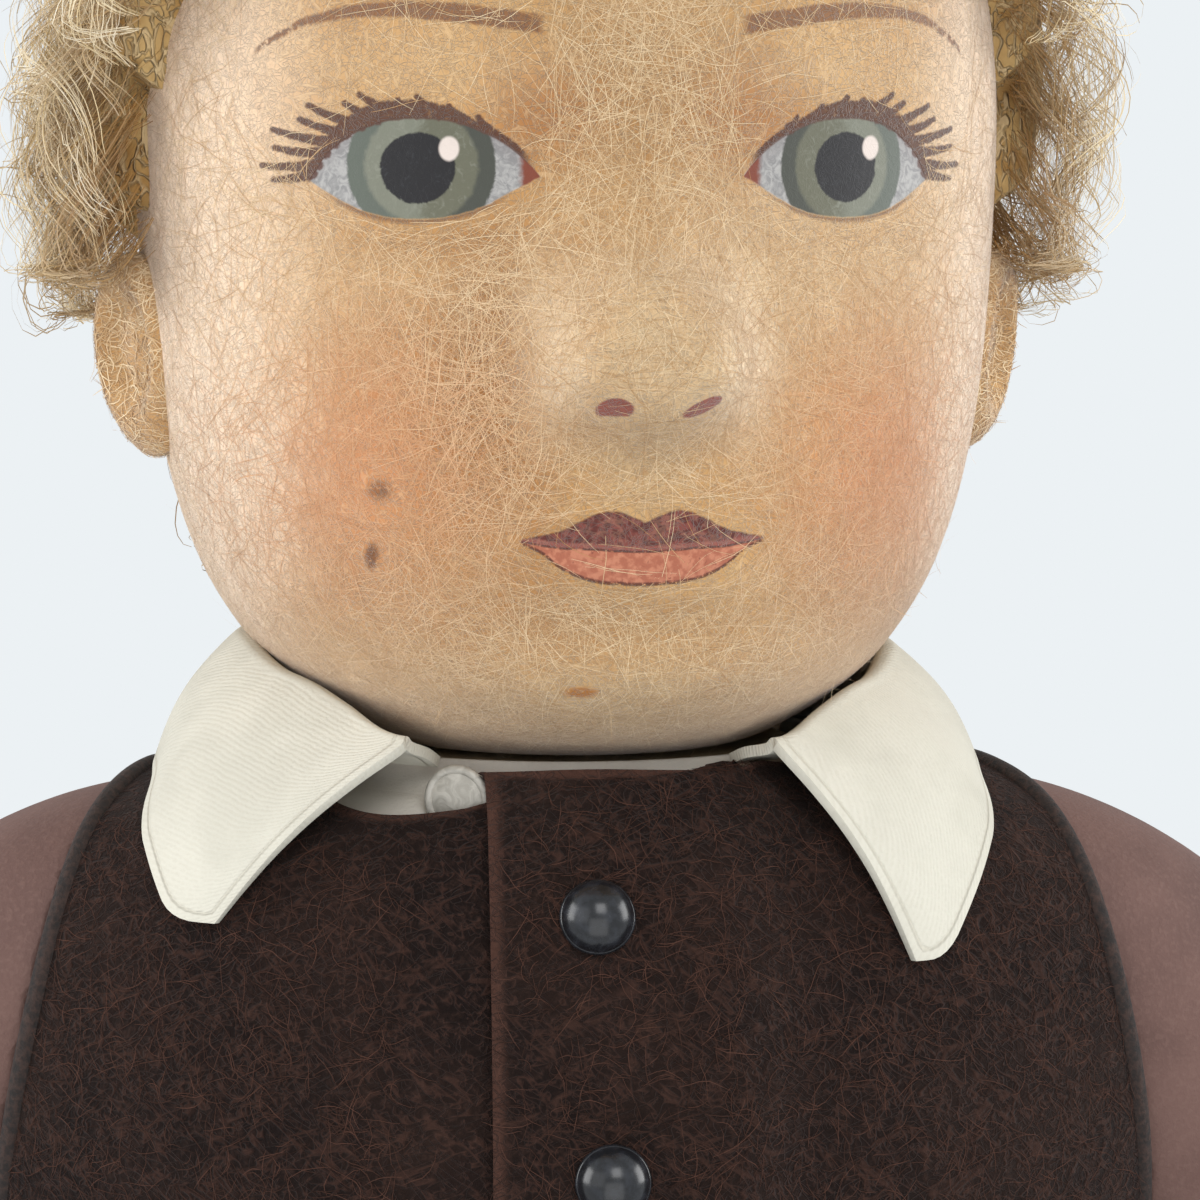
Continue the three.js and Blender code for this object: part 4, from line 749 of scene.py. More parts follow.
def fibre_look(name, dark, pale, special, rough=0.9, sheen=0.0):
    """Tone runs from dark to pale, and the second number brings in a special colour."""
    look = Look(name)
    where = look.node("UVMap", {"uv_map": "OFBake"})
    split = look.tree.nodes.new("ShaderNodeSeparateXYZ")
    look.tree.links.new(where.socket, split.inputs[0])
    tone, shade = Wire(look, split.outputs[0]), Wire(look, split.outputs[1])
    colour = look.colours(tone, dark, pale)
    colour = look.colours((shade - 0.5) * 2, colour, special)
    return look.surface(colour, rough, **{"Specular IOR Level": 0.12, "Sheen Weight": sheen})


def inside_curves(x, z, low, top, margin):
    across = np.abs(x)
    lows = np.interp(across, [p[0] for p in low], [p[1] for p in low])
    tops = np.interp(across, [p[0] for p in top], [p[1] for p in top])
    within = (across > low[0][0] - margin) & (across < low[-1][0] + margin)
    return within & (z > lows - margin) & (z < tops + margin)


def off_the_paint(paths, random):
    """Keeps hairs off the eyes, most of them off lips and nostrils, and thins them at the sides."""
    x, z = paths[..., 0], paths[..., 2]
    forward = paths[..., 1] < -10
    eyes = (inside_curves(x, z, LID_LOW, LID_TOP, 0.25) & forward).any(1)
    lips = (inside_curves(x, z, LIP_LOW, LIP_TOP, 0.1) & forward).any(1)
    nostrils = ((np.abs(np.abs(x) - 3.6) < 1.7) & (np.abs(z - 31.4) < 1.1) & forward).any(1)
    luck = random.random(len(paths))
    dark = ((np.abs(x) > 8) & (np.abs(x) < 31) & (z > 54) & (z < 64.6) & forward).any(1)
    sides = ease((np.abs(x[:, 0]) - 22) / 8) * 0.7 > luck
    marks = np.zeros(len(paths), bool)
    for mark_x, mark_z in STAINS:
        marks |= ((np.hypot(x - mark_x, z - mark_z) < 1.3) & forward).any(1)
    painted = (lips | nostrils) & (luck > 0.06)
    return ~eyes & ~marks & ~sides & ~painted & ~(dark & (luck > 0.14))


def blushing(p):
    cheek = bell(np.hypot(np.abs(p[:, 0]) - 23, p[:, 2] - 25.5), 9) * (p[:, 1] < -8)
    return 0.5 + 0.34 * cheek


wool = fibre_look("skin_fibre", (180, 138, 90), (236, 214, 176), (208, 142, 98), 0.9, 0.4)
FACE_AREA = (0.03, 0.86, -1.75, 1.75)
FACE_FIBRES = 15000
for number in range(1, 4):
    hairs = fibres(f"face_fibres_{number}", face, FACE_AREA, FACE_FIBRES, 100 + number, (4.0, 10.0),
                   (0.025, 0.05), 0.08, 0.09, keep=off_the_paint, place=turned_head, shade=blushing,
                   loose=0.03)
    finish_piece(hairs, "head", wool)

# %% [markdown]
# The ears are small padded felt ovals with a hollow, sewn on at the front edge so that the rear edge
# stands out. A flattened ball dented on one side gives rim and hollow in one piece.

# %% Ears
EAR = (2.5, 6.0, 9.0)
EAR_PLACE = np.array([37.4, -1.0, 34.0])


def ear_form(u, v):
    """u runs from lobe to top and v round; the outer side is hollowed inside a rolled rim."""
    polar = np.pi * (u - 0.5)
    n = np.stack([np.cos(polar) * np.cos(v), np.cos(polar) * np.sin(v), np.sin(polar)], -1)
    p = n * np.array(EAR)
    reach = np.hypot(p[..., 1] / 3.9, (p[..., 2] - 0.8) / 6.2)
    dent = 1.5 * (1 - ease((reach - 0.55) / 0.5)) * (n[..., 0] > 0)
    p[..., 0] += 0.5 * bell(reach - 1.15, 0.22) * (n[..., 0] > 0) - dent
    return p


def ear_place(p, way):
    tilt, out = math.radians(8), math.radians(-30)
    x, y, z = np.moveaxis(p, -1, 0)
    x, z = x * math.cos(tilt) + z * math.sin(tilt), z * math.cos(tilt) - x * math.sin(tilt)
    x, y = x * math.cos(out) - y * math.sin(out), x * math.sin(out) + y * math.cos(out)
    placed = np.stack([x, y, z], -1) + EAR_PLACE
    return turned_head(placed * [way, 1, 1])


for way, name in ((1, "ear_left"), (-1, "ear_right")):
    shell = grid_of(ear_form, np.linspace(0.02, 0.98, 56), np.linspace(0, 2 * np.pi, 72)[:-1])
    points, quads, ends = closed_loft(shell)
    if way < 0:
        quads, ends = quads[:, ::-1], ends[:, ::-1]
    ear = new_object("felt_" + name, ear_place(points, way), quads, ends)
    finish_piece(ear, "head", skin_look, (name,))
    hairs = fibres(f"{name}_fibres", ear_form, (0.05, 0.95, 0, 2 * np.pi), 1500, 130 + way, (1.5, 4),
                   (0.07, 0.12), 0.2, 0.3, place=lambda p, w=way: ear_place(p, w))
    finish_piece(hairs, "head", wool)

# %% [markdown]
# The wig is mohair: a padded cap under about a thousand small curled locks. A lock runs over the head
# from its root, winds round its own middle line, and is made of a handful of strands that share that
# winding. The strands are ribbons like the felt's fibres, so one helper makes both.

# %% Wig
HAIR_SIDE = 36.5
HAIR_EDGE_Y = -9.0
HAIR_NAPE = 17.0
HAIR_OVER_EAR = 44.0
NAPE_Y = 24.0
NAPE_HALF = 25.0
HAIR_DEPTH = 10.8
LOCK_STEPS = 18
scalp_curve = through_rows(HEAD_ROWS + [[100.6, 0.4, 0.4, 0.4]])
scalp_t = height_reader(scalp_curve)
scalp = oval(scalp_curve)


def hair_cover(p):
    """Millimetres from a place on the head to the edge of the hair; below zero is bare."""
    x, y, z = np.moveaxis(p, -1, 0)
    s = np.linspace(0, 0.5, 51)
    lift = s * (1 - s)
    arch_x = HAIR_SIDE * (1 - 2 * s) * (1 + 2 * lift)
    arch = np.interp(np.abs(x), arch_x[::-1], (54.1 + 101.7 * lift)[::-1])
    beside_face = np.maximum.reduce([np.abs(x) - HAIR_SIDE, z - arch, y - HAIR_EDGE_Y])
    over_ear = np.maximum(y - 6, z - HAIR_OVER_EAR)
    behind = np.maximum(np.minimum(y - NAPE_Y, NAPE_HALF - np.abs(x)), z - HAIR_OVER_EAR + 4)
    return np.minimum.reduce([beside_face, over_ear, behind, z - HAIR_NAPE])


def cap_depth(t, a):
    p = scalp(t, a)
    z = p[..., 2]
    wave = 0.9 * np.sin(7 * a + z / 4) + 0.7 * np.sin(11 * a - z / 5 + 2)
    return mix(-3.0, 4.6 + wave * ease((100 - z) / 14), ease(hair_cover(p) / 7))


rings = grid_of(lifted(scalp, cap_depth), np.linspace(scalp_t(12), 0.985, 100), turns[::2])
points, quads, ends = closed_loft(rings)
wig_cap = new_object("wig_cap", turned_head(points), quads, ends)


def locks(name, count, strands, seed):
    """Curled locks of mohair rooted all over the hair area."""
    random = np.random.default_rng(seed)
    area = (scalp_t(HAIR_NAPE), 0.99, -np.pi, np.pi)
    t, a = sow(scalp, area, count, random, lambda p: hair_cover(p) > 0.3)
    root = scalp(t, a)
    ahead = ease((-root[:, 1] - 5) / 15) * ease((root[:, 2] - 55) / 12)
    heading = -np.pi / 2 + np.sign(root[:, 0]) * ahead * 1.3 + random.normal(0, 0.5, count)
    long = random.uniform(14, 28, count)
    heading = np.where(root[:, 2] > 97, random.uniform(0, 2 * np.pi, count), heading)
    places, normals, ways = walk(scalp, t, a, heading, long / LOCK_STEPS, LOCK_STEPS,
                                 lambda: random.normal(0, 0.06, count), area,
                                 lambda p: ease((hair_cover(p) + 2.5) / 3))
    across = np.cross(normals, ways)
    share = np.linspace(0, 1, LOCK_STEPS + 1)
    peak = random.uniform(6.0, mix(7.6, HAIR_DEPTH, ease((root[:, 2] - 46) / 14)))[:, None, None]
    rise = 1.5 + (peak - 1.5) * np.sin(np.pi * share * 0.75)
    shape = (count, strands, 1)
    coil = random.uniform(0.6, 1.7, (count, 1, 1)) * random.uniform(0.75, 1.25, shape) * ease(share * 2.5)
    winds = long[:, None, None] / random.uniform(11, 18, (count, 1, 1))
    phase = random.uniform(0, 2 * np.pi, (count, 1, 1)) + random.normal(0, 0.22, shape)
    phase = phase + 2 * np.pi * winds * share * random.choice([-1, 1], (count, 1, 1))
    stray = np.where(random.random(shape) < 0.05, 2.6, 1)
    spread = (0.35 + 0.8 * np.sin(np.pi * (0.2 + 0.6 * share))) * stray
    out = rise + coil * np.cos(phase) + random.normal(0, 0.7, shape) * spread
    aside = coil * np.sin(phase) + random.normal(0, 1.0, shape) * spread
    lift = normals[:, None] * np.maximum(out, 0.5)[..., None]
    paths = places[:, None] + lift + across[:, None] * aside[..., None]
    paths = paths.reshape(count * strands, LOCK_STEPS + 1, 3)
    along = unit(np.gradient(paths, axis=1))
    facing = np.repeat(normals, strands, axis=0) + 0.5 * random.normal(0, 1, (count * strands, 1, 3))
    taper = np.sin(np.pi * np.linspace(0.2, 0.95, LOCK_STEPS + 1)) ** 0.4
    half = random.uniform(0.035, 0.065, (count * strands, 1, 1)) * taper[None, :, None]
    sides = unit(np.cross(facing, along)) * half
    tones = np.clip(np.repeat(random.uniform(0.35, 0.75, count), strands)
                    + random.normal(0, 0.16, count * strands), 0.02, 0.98)
    # Painted shade: strands turn a darker gold at their roots and along the face edge, where the hair is in
    # its own shade.
    near = np.repeat(ease(1.2 - hair_cover(root) / 14), strands)[:, None]
    shades = 0.5 + 0.48 * np.maximum((1 - share) ** 1.6, near * (0.95 - 0.4 * share))
    tips = turned_head(paths + sides)
    paths = turned_head(paths)
    return ribbon_mesh(name, paths, tips - paths, tones[:, None], shades)


look = Look("mohair_cap")
*_, where = look.place()
stretched = look.node("VectorMath", {"operation": "MULTIPLY"}, {0: where, 1: (1, 1, 0.45)})
lines = (look.strands(stretched, 0.5, 0.05, 3) + look.strands(stretched, 0.9, 0.07, 8) * 0.8).least(1.0)
colour = look.colours(look.noise(where, 0.2, 3, 0.6).above(0.35, 0.65), (160, 122, 66), (196, 164, 108))
cap_look = look.surface(look.colours(lines * 0.3, colour, (232, 218, 182)), 0.8, lines, 0.0004)
finish_piece(wig_cap, "head", cap_look, ("wig",))
# Its special colour is the darker gold of that painted shade.
mohair = fibre_look("mohair_strand", (220, 196, 142), (252, 245, 224), (142, 100, 42), 0.8)
for number in range(1, 4):
    finish_piece(locks(f"wig_locks_{number}", 350, 12, 200 + number), "head", mohair)

# %% [markdown]
# The trunk wears two layers: a cotton shirt front with its collar stand, and a felt jacket of three
# panels. Each layer is the trunk moved out along its normal: a cloth simulation would drape it too, but a
# set distance keeps every layer clear of the next. The doll's left front laps over the right one and is
# lifted there.

# %% Trunk and jacket forms
CHEST = 52.0
BODY_ROWS = [
    [230.6, 36.9, 30, 27], [242.6, 41, 34, 30.5], [263.6, 41, 34.5, 30], [287.6, 0.92 * CHEST, 34, 29.5],
    [306.6, CHEST, 33, 29], [320.6, 0.97 * CHEST, 30, 27.5], [328.5, 0.86 * CHEST, 27.4, 26],
    [332.5, 0.65 * CHEST, 24.8, 24.2], [334.8, 23.8, 23.2, 23.2], [337.85, 22, 22, 22],
]
SHIRT = 0.65
JACKET = 2.4
FELT = 1.6
LAP_STEP = 1.9
LAP_X = 9.0
HEM_Z = 236.0
NECK_FRONT_Z = 336.2
NECK_BACK_Z = 333.6
SHOULDER = np.array([45.0, 0, 309.5])
SHOULDER_AXIS = unit([math.cos(math.radians(12)) * math.cos(math.radians(15)),
                      math.cos(math.radians(12)) * math.sin(math.radians(15)), math.sin(math.radians(12))])
BOTH_SIDES = (np.ones(3), np.array([-1.0, 1, 1]))
ARMHOLE_CUT = 0.15
ARMHOLE_EDGE = 0.1
body_curve = through_rows(BODY_ROWS)
body_t = height_reader(body_curve)
trunk = oval(body_curve)


def jacket_layer(base):
    """Distance of a jacket layer from the trunk; the skirt stands off."""
    def distance(t, a):
        z = body_curve(t)[..., 0]
        ripple = 0.22 * np.sin(z / 8 + 3 * a) * ease((325 - z) / 20)
        return base + ripple + 2.4 * ease((HEM_Z + 19 - z) / 14)
    return distance


def lapped(base):
    plain = jacket_layer(base)
    return lambda t, a: plain(t, a) + LAP_STEP * ease((18 - trunk(t, a)[..., 0]) / 8)


def side_angle(x):
    """The angle at which the jacket stands x from the middle, at each height."""
    return lambda z: np.arcsin(np.clip(x / (body_curve(body_t(z))[..., 1] + 3.2), -0.9, 0.9))


def panel(name, low, top, left, right, distance, rows=90, columns=110, rims=("left", "top", "low")):
    """A sheet on the trunk between two heights and two angles; its top and sides may curve."""
    v, u = np.meshgrid(np.linspace(0, 1, rows), np.linspace(0, 1, columns) ** 1.35, indexing="ij")
    z = mix(low, 335.0, v)
    for _ in range(6):
        a = mix(left(z), right(z), u)
        z = mix(low, top(a), v)
    p = lifted(trunk, distance)(body_t(z), a)
    edges = {"left": p[:, :1], "right": p[:, -1:], "top": p[-1:], "low": p[:1]}
    rim = np.min([np.linalg.norm(p - edges[k], axis=-1) for k in rims], axis=0)
    return new_object(name, p, grid_quads(rows, columns), floats={"rim": rim})


def even(value):
    return lambda z: np.full(np.shape(z), float(value))


def neck_height(a):
    return mix(NECK_FRONT_Z, NECK_BACK_Z, ease(np.abs(a) / math.radians(60)))


def covered_neck(a):
    return neck_height(a) - 3.6 * bell(a - math.asin(-11 / 27), math.radians(13))


SIDE_SEAM = math.radians(92)
right_front = panel("felt_jacket_right", HEM_Z, covered_neck, even(-SIDE_SEAM), side_angle(LAP_X - 1),
                    jacket_layer(JACKET), rims=("top", "low"))
left_front = panel("felt_jacket_left", HEM_Z, neck_height, side_angle(-LAP_X), even(SIDE_SEAM),
                   lapped(JACKET), 110, 150)
back = panel("felt_jacket_back", HEM_Z, even(NECK_BACK_Z), even(SIDE_SEAM),
             even(2 * math.pi - SIDE_SEAM), jacket_layer(JACKET), rims=("top", "low"))
for sheet in (right_front, left_front, back):
    for way in BOTH_SIDES:
        trim(sheet, (SHOULDER - ARMHOLE_CUT * SHOULDER_AXIS) * way, SHOULDER_AXIS * way)
    thicken(sheet, FELT)
    for way in BOTH_SIDES:
        trim(sheet, (SHOULDER - ARMHOLE_EDGE * SHOULDER_AXIS) * way, SHOULDER_AXIS * way, fill=True)
    print(sheet.name, len(sheet.data.polygons), "faces")

# %% [markdown]
# Jacket felt is nearly black brown. Its edges are lighter and redder, and reddish hairs lie all over
# it. The rim attribute holds each point's distance from the panel's cut edge.

# %% Felt for the jacket and trousers


def brown_felt(name, lighter_edges):
    look = Look(name)
    *_, where = look.place()
    cloudy = look.noise(where, 0.08, 3, 0.6)
    grain = look.noise(where, 1.3, 4, 0.65, 0.5, 4)
    hairs = look.strands(where, 0.8, 0.035, 14, 20).most(look.strands(where, 0.9, 0.04, 29, -40))
    hairs = hairs.most(look.strands(where, 0.7, 0.04, 43))
    colour = look.colours(cloudy.above(0.3, 0.7), (21, 13, 11), (33, 22, 18))
    colour = look.colours(grain.above(0.45, 0.75) * 0.6, colour, (58, 41, 35))
    colour = look.colours(hairs * 0.3, colour, (84, 58, 49))
    if lighter_edges:
        rim = look.node("Attribute", {"attribute_name": "rim"}, out="Fac")
        edge = 1 - (rim + (grain - 0.5) * 1.2).above(0.4, 1.5)
        colour = look.colours(edge * 0.55, colour, (88, 60, 50))
    soft = {"Specular IOR Level": 0.12, "Sheen Weight": 0.03}
    return look.surface(colour, 0.96, hairs * 0.5 + grain, 0.0004, **soft)


jacket_look = brown_felt("brown_felt_jacket", True)
trouser_look = brown_felt("brown_felt_trousers", False)
finish_piece(right_front, "torso", jacket_look, ("jacket_right_front",))
finish_piece(left_front, "torso", jacket_look, ("jacket_left_front",))
finish_piece(back, "torso", jacket_look, ("jacket_back",))


def on_jacket(paths, random):
    """Keeps hairs on the trunk side of both armholes and off the edges."""
    inside = np.ones(len(paths), bool)
    for way in BOTH_SIDES:
        beyond = (paths - SHOULDER * way) @ (SHOULDER_AXIS * way)
        inside &= (beyond < -0.8).all(1)
    angle = np.arctan2(paths[..., 0], -paths[..., 1])
    dip = (paths[..., 0] < -LAP_X) & (paths[..., 2] > covered_neck(angle) - 0.6)
    return inside & ~dip.any(1)


dark_wool = fibre_look("jacket_fibre", (34, 23, 19), (86, 59, 49), (110, 76, 60), 0.95)
JACKET_OUT = JACKET + FELT / 2
for name, form, area, count, seed in (
        ("jacket_left_fibres", lapped(JACKET_OUT), (0.08, 0.9, -0.13, 1.55), 9000, 301),
        ("jacket_right_fibres", jacket_layer(JACKET_OUT), (0.08, 0.88, -1.55, -0.3), 6000, 302),
        ("jacket_back_fibres", jacket_layer(JACKET_OUT), (0.08, 0.87, 1.65, 4.6), 7000, 303)):
    hairs = fibres(name, lifted(trunk, form), area, count, seed, (1.5, 4.5), (0.03, 0.06), 0.3, 0.2,
                   keep=on_jacket, loose=0.1)
    finish_piece(hairs, "torso", dark_wool)

# %% [markdown]
# The armhole edge is bound with a thin roll of the same felt; a broken rust-coloured line along the roll is
# a painted highlight. Its path is where the armhole plane meets the jacket: crossings are found along every
# level of the jacket surface.

# %% Armhole trim
TRIM_RADIUS = 0.9
SHOULDER_UP = unit(np.array([0, 0, 1]) - SHOULDER_AXIS * SHOULDER_AXIS[2])
SHOULDER_FRONT = np.cross(SHOULDER_AXIS, SHOULDER_UP)


def armhole_path(distance, back_off, count=120):
    """Closed path of points and outward directions where the armhole plane cuts a layer of the jacket."""
    origin = SHOULDER - SHOULDER_AXIS * back_off
    t, a = np.meshgrid(np.linspace(0.3, 0.93, 420), np.linspace(0.05, math.pi - 0.05, 420), indexing="ij")
    p = lifted(trunk, distance)(t, a)
    side = (p - origin) @ SHOULDER_AXIS
    change = side[:, :-1] * side[:, 1:] < 0
    share = (side[:, :-1] / (side[:, :-1] - side[:, 1:] + 1e-12))[..., None]
    crossing = (p[:, :-1] + (p[:, 1:] - p[:, :-1]) * share)[change] - origin
    turn = np.arctan2(crossing @ SHOULDER_FRONT, crossing @ SHOULDER_UP)
    order = np.argsort(turn)
    turn, reach = turn[order], np.linalg.norm(crossing, axis=1)[order]
    angles = 2 * np.pi * np.arange(count) / count - np.pi
    reach = np.interp(angles, turn, reach, period=2 * np.pi)
    smooth = np.array([np.roll(reach, k) for k in range(-3, 4)]).mean(0)
    out = np.cos(angles)[:, None] * SHOULDER_UP + np.sin(angles)[:, None] * SHOULDER_FRONT
    return origin, out, smooth


def closed_tube(path, out, radius, sides=14):
    along = unit(np.roll(path, -1, 0) - np.roll(path, 1, 0))
    side = np.cross(along, out)
    turn = 2 * np.pi * np.arange(sides) / sides
    rings = path[:, None] + radius * (np.cos(turn)[None, :, None] * out[:, None]
                                      + np.sin(turn)[None, :, None] * side[:, None])
    rings = np.concatenate([rings, rings[:1]])
    around = np.broadcast_to(np.cos(turn), rings.shape[:2])
    return rings, grid_quads(len(rings), sides, True), around * 0.5 + 0.5


look = Look("felt_trim")
*_, where = look.place()
grain = look.noise(where, 1.5, 4, 0.65)
band = look.node("Attribute", {"attribute_name": "roll"}, out="Fac")
colour = look.colours(grain.above(0.35, 0.7), (28, 22, 20), (58, 42, 36))
# Painted highlight: a broken rust-coloured line along one side of the roll.
line = (1 - abs(band - 0.25).above(0.04, 0.14)) * look.noise(where, 2.2, 2, 0.5, 0, 6).above(0.38, 0.5)
trim_look = look.surface(look.colours(line * 0.8, colour, (136, 84, 56)), 0.92, grain, 0.0003)
origin, out, reach = armhole_path(jacket_layer(JACKET_OUT - 0.5), TRIM_RADIUS)
path = origin + out * (reach + 0.5)[:, None]
rings, quads, around = closed_tube(path, out, TRIM_RADIUS)
for way, name in ((1, "left"), (-1, "right")):
    roll = new_object(f"felt_trim_{name}", rings * [way, 1, 1], quads[:, ::-way],
                      floats={"roll": around})
    finish_piece(roll, "torso", trim_look, (f"armhole_trim_{name}",))

# %% [markdown]
# Shirt front and collar stand show only in the small gap beside the lap. The collar folds over the stand:
# level behind, high against the jaw at the sides, and drawn into two points in front. Its cloth is a fine
# twill, drawn on a map in millimetres that runs along the cloth, with a turned hem just inside the edge.

# %% Shirt and collar
COTTON = 0.7
SHIRT_HEM, SHIRT_TOP = 282.0, 334.3
SHIRT_SIDE = math.radians(75)
STAND_LOW, STAND_TOP = 333.4, 337.84
STAND_RADIUS = 24.6
COLLAR_ROWS, COLLAR_KNOTS = 70, 241
COLLAR_OPENING = math.radians(30.5)
COLLAR_CLOTH = 0.95
COLLAR_OFF = 0.75
# Point of each half: its angles round the trunk, in degrees, at the opening side and the outer side,
# and its height.
COLLAR_POINTS = {-1: (37, 43, 323.8), 1: (30.5, 34.5, 320.6)}
COLLAR_POINT_SHARE = 0.04
COLLAR_BEND = 12
COLLAR_SHOULDER = 332.3
COLLAR_BACK = 330


def plain_cotton(name, dark, pale):
    look = Look(name)
    *_, where = look.place()
    weave = look.noise(where, 2.5, 3, 0.6)
    colour = look.colours(look.noise(where, 0.1, 2).above(0.35, 0.65), dark, pale)
    return look.surface(colour, 0.9, weave, 0.0001)


shirt = panel("cotton_shirt_front", SHIRT_HEM, even(SHIRT_TOP), even(-SHIRT_SIDE), even(SHIRT_SIDE),
              SHIRT, 70, 90)
for way in BOTH_SIDES:
    trim(shirt, (SHOULDER - ARMHOLE_CUT * SHOULDER_AXIS) * way, SHOULDER_AXIS * way)
thicken(shirt, COTTON)
shirt_look = plain_cotton("shirt_cotton", (196, 190, 180), (216, 211, 200))
finish_piece(shirt, "torso", shirt_look, ("shirt_front",))

stand_rows = grid_of(lifted(trunk, SHIRT), body_t(np.linspace(STAND_LOW, STAND_TOP, 12)), turns[::3])
stand = new_object("cotton_stand", stand_rows, grid_quads(12, len(turns[::3]), True))
thicken(stand, COTTON)
finish_piece(stand, "torso", shirt_look, ("collar_stand",))


def stand_off(tree, points, gap):
    """Points moved out until they stand off a surface by a gap."""
    moved = np.array(points, float)
    for i, p in enumerate(moved):
        near, normal, _, _ = tree.find_nearest(Vector(p))
        away = (Vector(p) - near).dot(normal)
        if away < gap:
            moved[i] = p + np.array(normal) * (gap - away)
    return moved


def collar_edge(way, inner, outer, low):
    """Angle and height of one half's outer edge, from its point round to the back of the neck."""
    past = np.maximum(way - COLLAR_POINT_SHARE, 0) / (1 - COLLAR_POINT_SHARE)
    angle = np.where(past > 0, mix(outer, 180, past ** 1.1), mix(inner, outer, way / COLLAR_POINT_SHARE))
    rise = 1 - np.exp(-np.maximum(angle - outer, 0) / COLLAR_BEND)
    behind = ease((angle - 98) / 82)
    return angle, mix(low, COLLAR_SHOULDER, rise) - (COLLAR_SHOULDER - COLLAR_BACK) * behind


def collar_columns(shares):
    """Knots of the collar, a row for each stage from the outer edge over the fold to the inside."""
    way = 1 - np.abs(shares)
    side = np.where(shares < 0, -1.0, 1.0)
    angle = mix(COLLAR_OPENING, math.pi, way)
    left, right = [collar_edge(way, *COLLAR_POINTS[k]) for k in (-1, 1)]
    edge_angle, edge_z = [np.where(shares < 0, left[k], right[k]) for k in (0, 1)]
    soft = [np.convolve(np.pad(k, 2, "edge"), np.ones(5) / 5, "valid") for k in (edge_angle, edge_z)]
    edge_angle, edge_z = soft
    edge = lifted(trunk, JACKET_OUT + COLLAR_OFF)(body_t(edge_z), side * np.radians(edge_angle))
    degrees = np.degrees(angle)
    crest = NECK_Z + mix(2.4, 6.4, ease((degrees - 30) / 30)) + 2.4 * ease((degrees - 56) / 30)
    crest = crest - 1.2 * (side > 0) * bell(degrees - 80, 35)
    fold = mix(31.6, 29.7, ease((degrees - 30) / 16))

    def ring(radius, z):
        return np.stack([radius * np.sin(side * angle), -radius * np.cos(angle), z], -1)

    top = ring(fold, crest - 0.6)
    bulge = unit(ring(fold, 0 * fold)) + [0, 0, 0.6]
    size = np.linalg.norm(top - edge, axis=-1, keepdims=True)
    rows = [mix(edge, top, k) + bulge * size * 0.07 * math.sin(math.pi * k)
            for k in (0, 0.2, 0.4, 0.6, 0.8, 1)]
    rows += [ring(fold - 0.9, crest), ring(fold - 1.9, crest - 0.6),
             ring(mix(fold, STAND_RADIUS, 0.7), mix(crest, NECK_Z, 0.6)),
             ring(STAND_RADIUS + 0 * fold, NECK_Z + 0 * fold)]
    return np.array(rows)


t, a = np.meshgrid(np.linspace(0.4, 1, 160), turns, indexing="ij")
around = np.where(a > math.pi, a - 2 * math.pi, a)
by_lap = (around > -0.3) & (around < 1.2)
over = np.where(by_lap, lapped(JACKET_OUT)(t, around), jacket_layer(JACKET_OUT)(t, around))
jacket_skin = lifted(trunk, lambda t_, a_: over)(t, around)
jacket_quads = grid_quads(160, len(turns), True)
jacket_tree = BVHTree.FromPolygons(jacket_skin.reshape(-1, 3).tolist(), jacket_quads.tolist())
knots = collar_columns(np.linspace(-1, 1, COLLAR_KNOTS))
spread = np.linspace(0, 1, COLLAR_ROWS)
p = through_rows(knots.reshape(len(knots), -1))(spread).reshape(COLLAR_ROWS, COLLAR_KNOTS, 3)
lying = spread < 0.55
p[lying] = stand_off(jacket_tree, p[lying].reshape(-1, 3), COLLAR_OFF).reshape(-1, COLLAR_KNOTS, 3)


def run_along(p, axis):
    """Length of cloth from the first row or column to each point."""
    steps = np.linalg.norm(np.diff(p, axis=axis), axis=-1)
    return np.insert(np.cumsum(steps, axis), 0, 0, axis)


up, across = run_along(p, 0), run_along(p, 1)
front = np.minimum(across, across[:, -1:] - across)
rim = np.minimum(up, front)
quads = grid_quads(COLLAR_ROWS, COLLAR_KNOTS)
collar = new_object("cotton_collar", p, quads, uvs={"twill": np.stack([across, up], -1)}, floats={"rim": rim})
thicken(collar, COLLAR_CLOTH)

look = Look("collar_twill")
*_, where = look.place()
cloth = look.node("UVMap", {"uv_map": "twill"})
split = look.tree.nodes.new("ShaderNodeSeparateXYZ")
look.tree.links.new(cloth.socket, split.inputs[0])
u, v = Wire(look, split.outputs[0]), Wire(look, split.outputs[1])
jitter = (look.noise(where, 0.7, 3, 0.6) - 0.5) * 0.5
twill = ((u * 0.62 + v + jitter) * (2 * math.pi / 0.5)).sine() * 0.5 + 0.5
fine = look.noise(where, 3.0, 2, 0.6)
colour = look.colours(look.noise(where, 0.09, 3, 0.6).above(0.35, 0.65), (198, 195, 181), (208, 205, 191))
colour = look.colours(twill * fine.above(0.35, 0.6) * 0.2, colour, (186, 181, 164))
rim = look.node("Attribute", {"attribute_name": "rim"}, out="Fac")
hem = 1 - abs(rim - 0.95).above(0.05, 0.28)
colour = look.colours(hem * 0.22, colour, (190, 182, 160))
lift = (1 - rim.above(0.75, 1.05)) * 1.2
collar_look = look.surface(colour, 0.88, twill * 0.12 + fine * 0.25 + lift * 0.6 - hem * 0.3, 0.00022)
finish_piece(collar, "torso", collar_look, ("collar_fall",))
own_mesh(collar)

# %% [markdown]
# Buttons are turned hard pieces: black glass domes in a thin flange down the lap, and a pale shell button
# with a raised rim on the stand. Each is a ball cut flat behind and joined with a ring, as from a lathe.

# %% Buttons
# Radius, height of the dome and thickness of the ring.
GLASS_BUTTON = (3.2, 3.0, 0.45)
SHELL_BUTTON = (3.0, 0.8, 0.42)
SHELL_PLACE = (-10.2, 335.1)
BUTTON_TOP = 326.3
BUTTON_STEP = 21.4


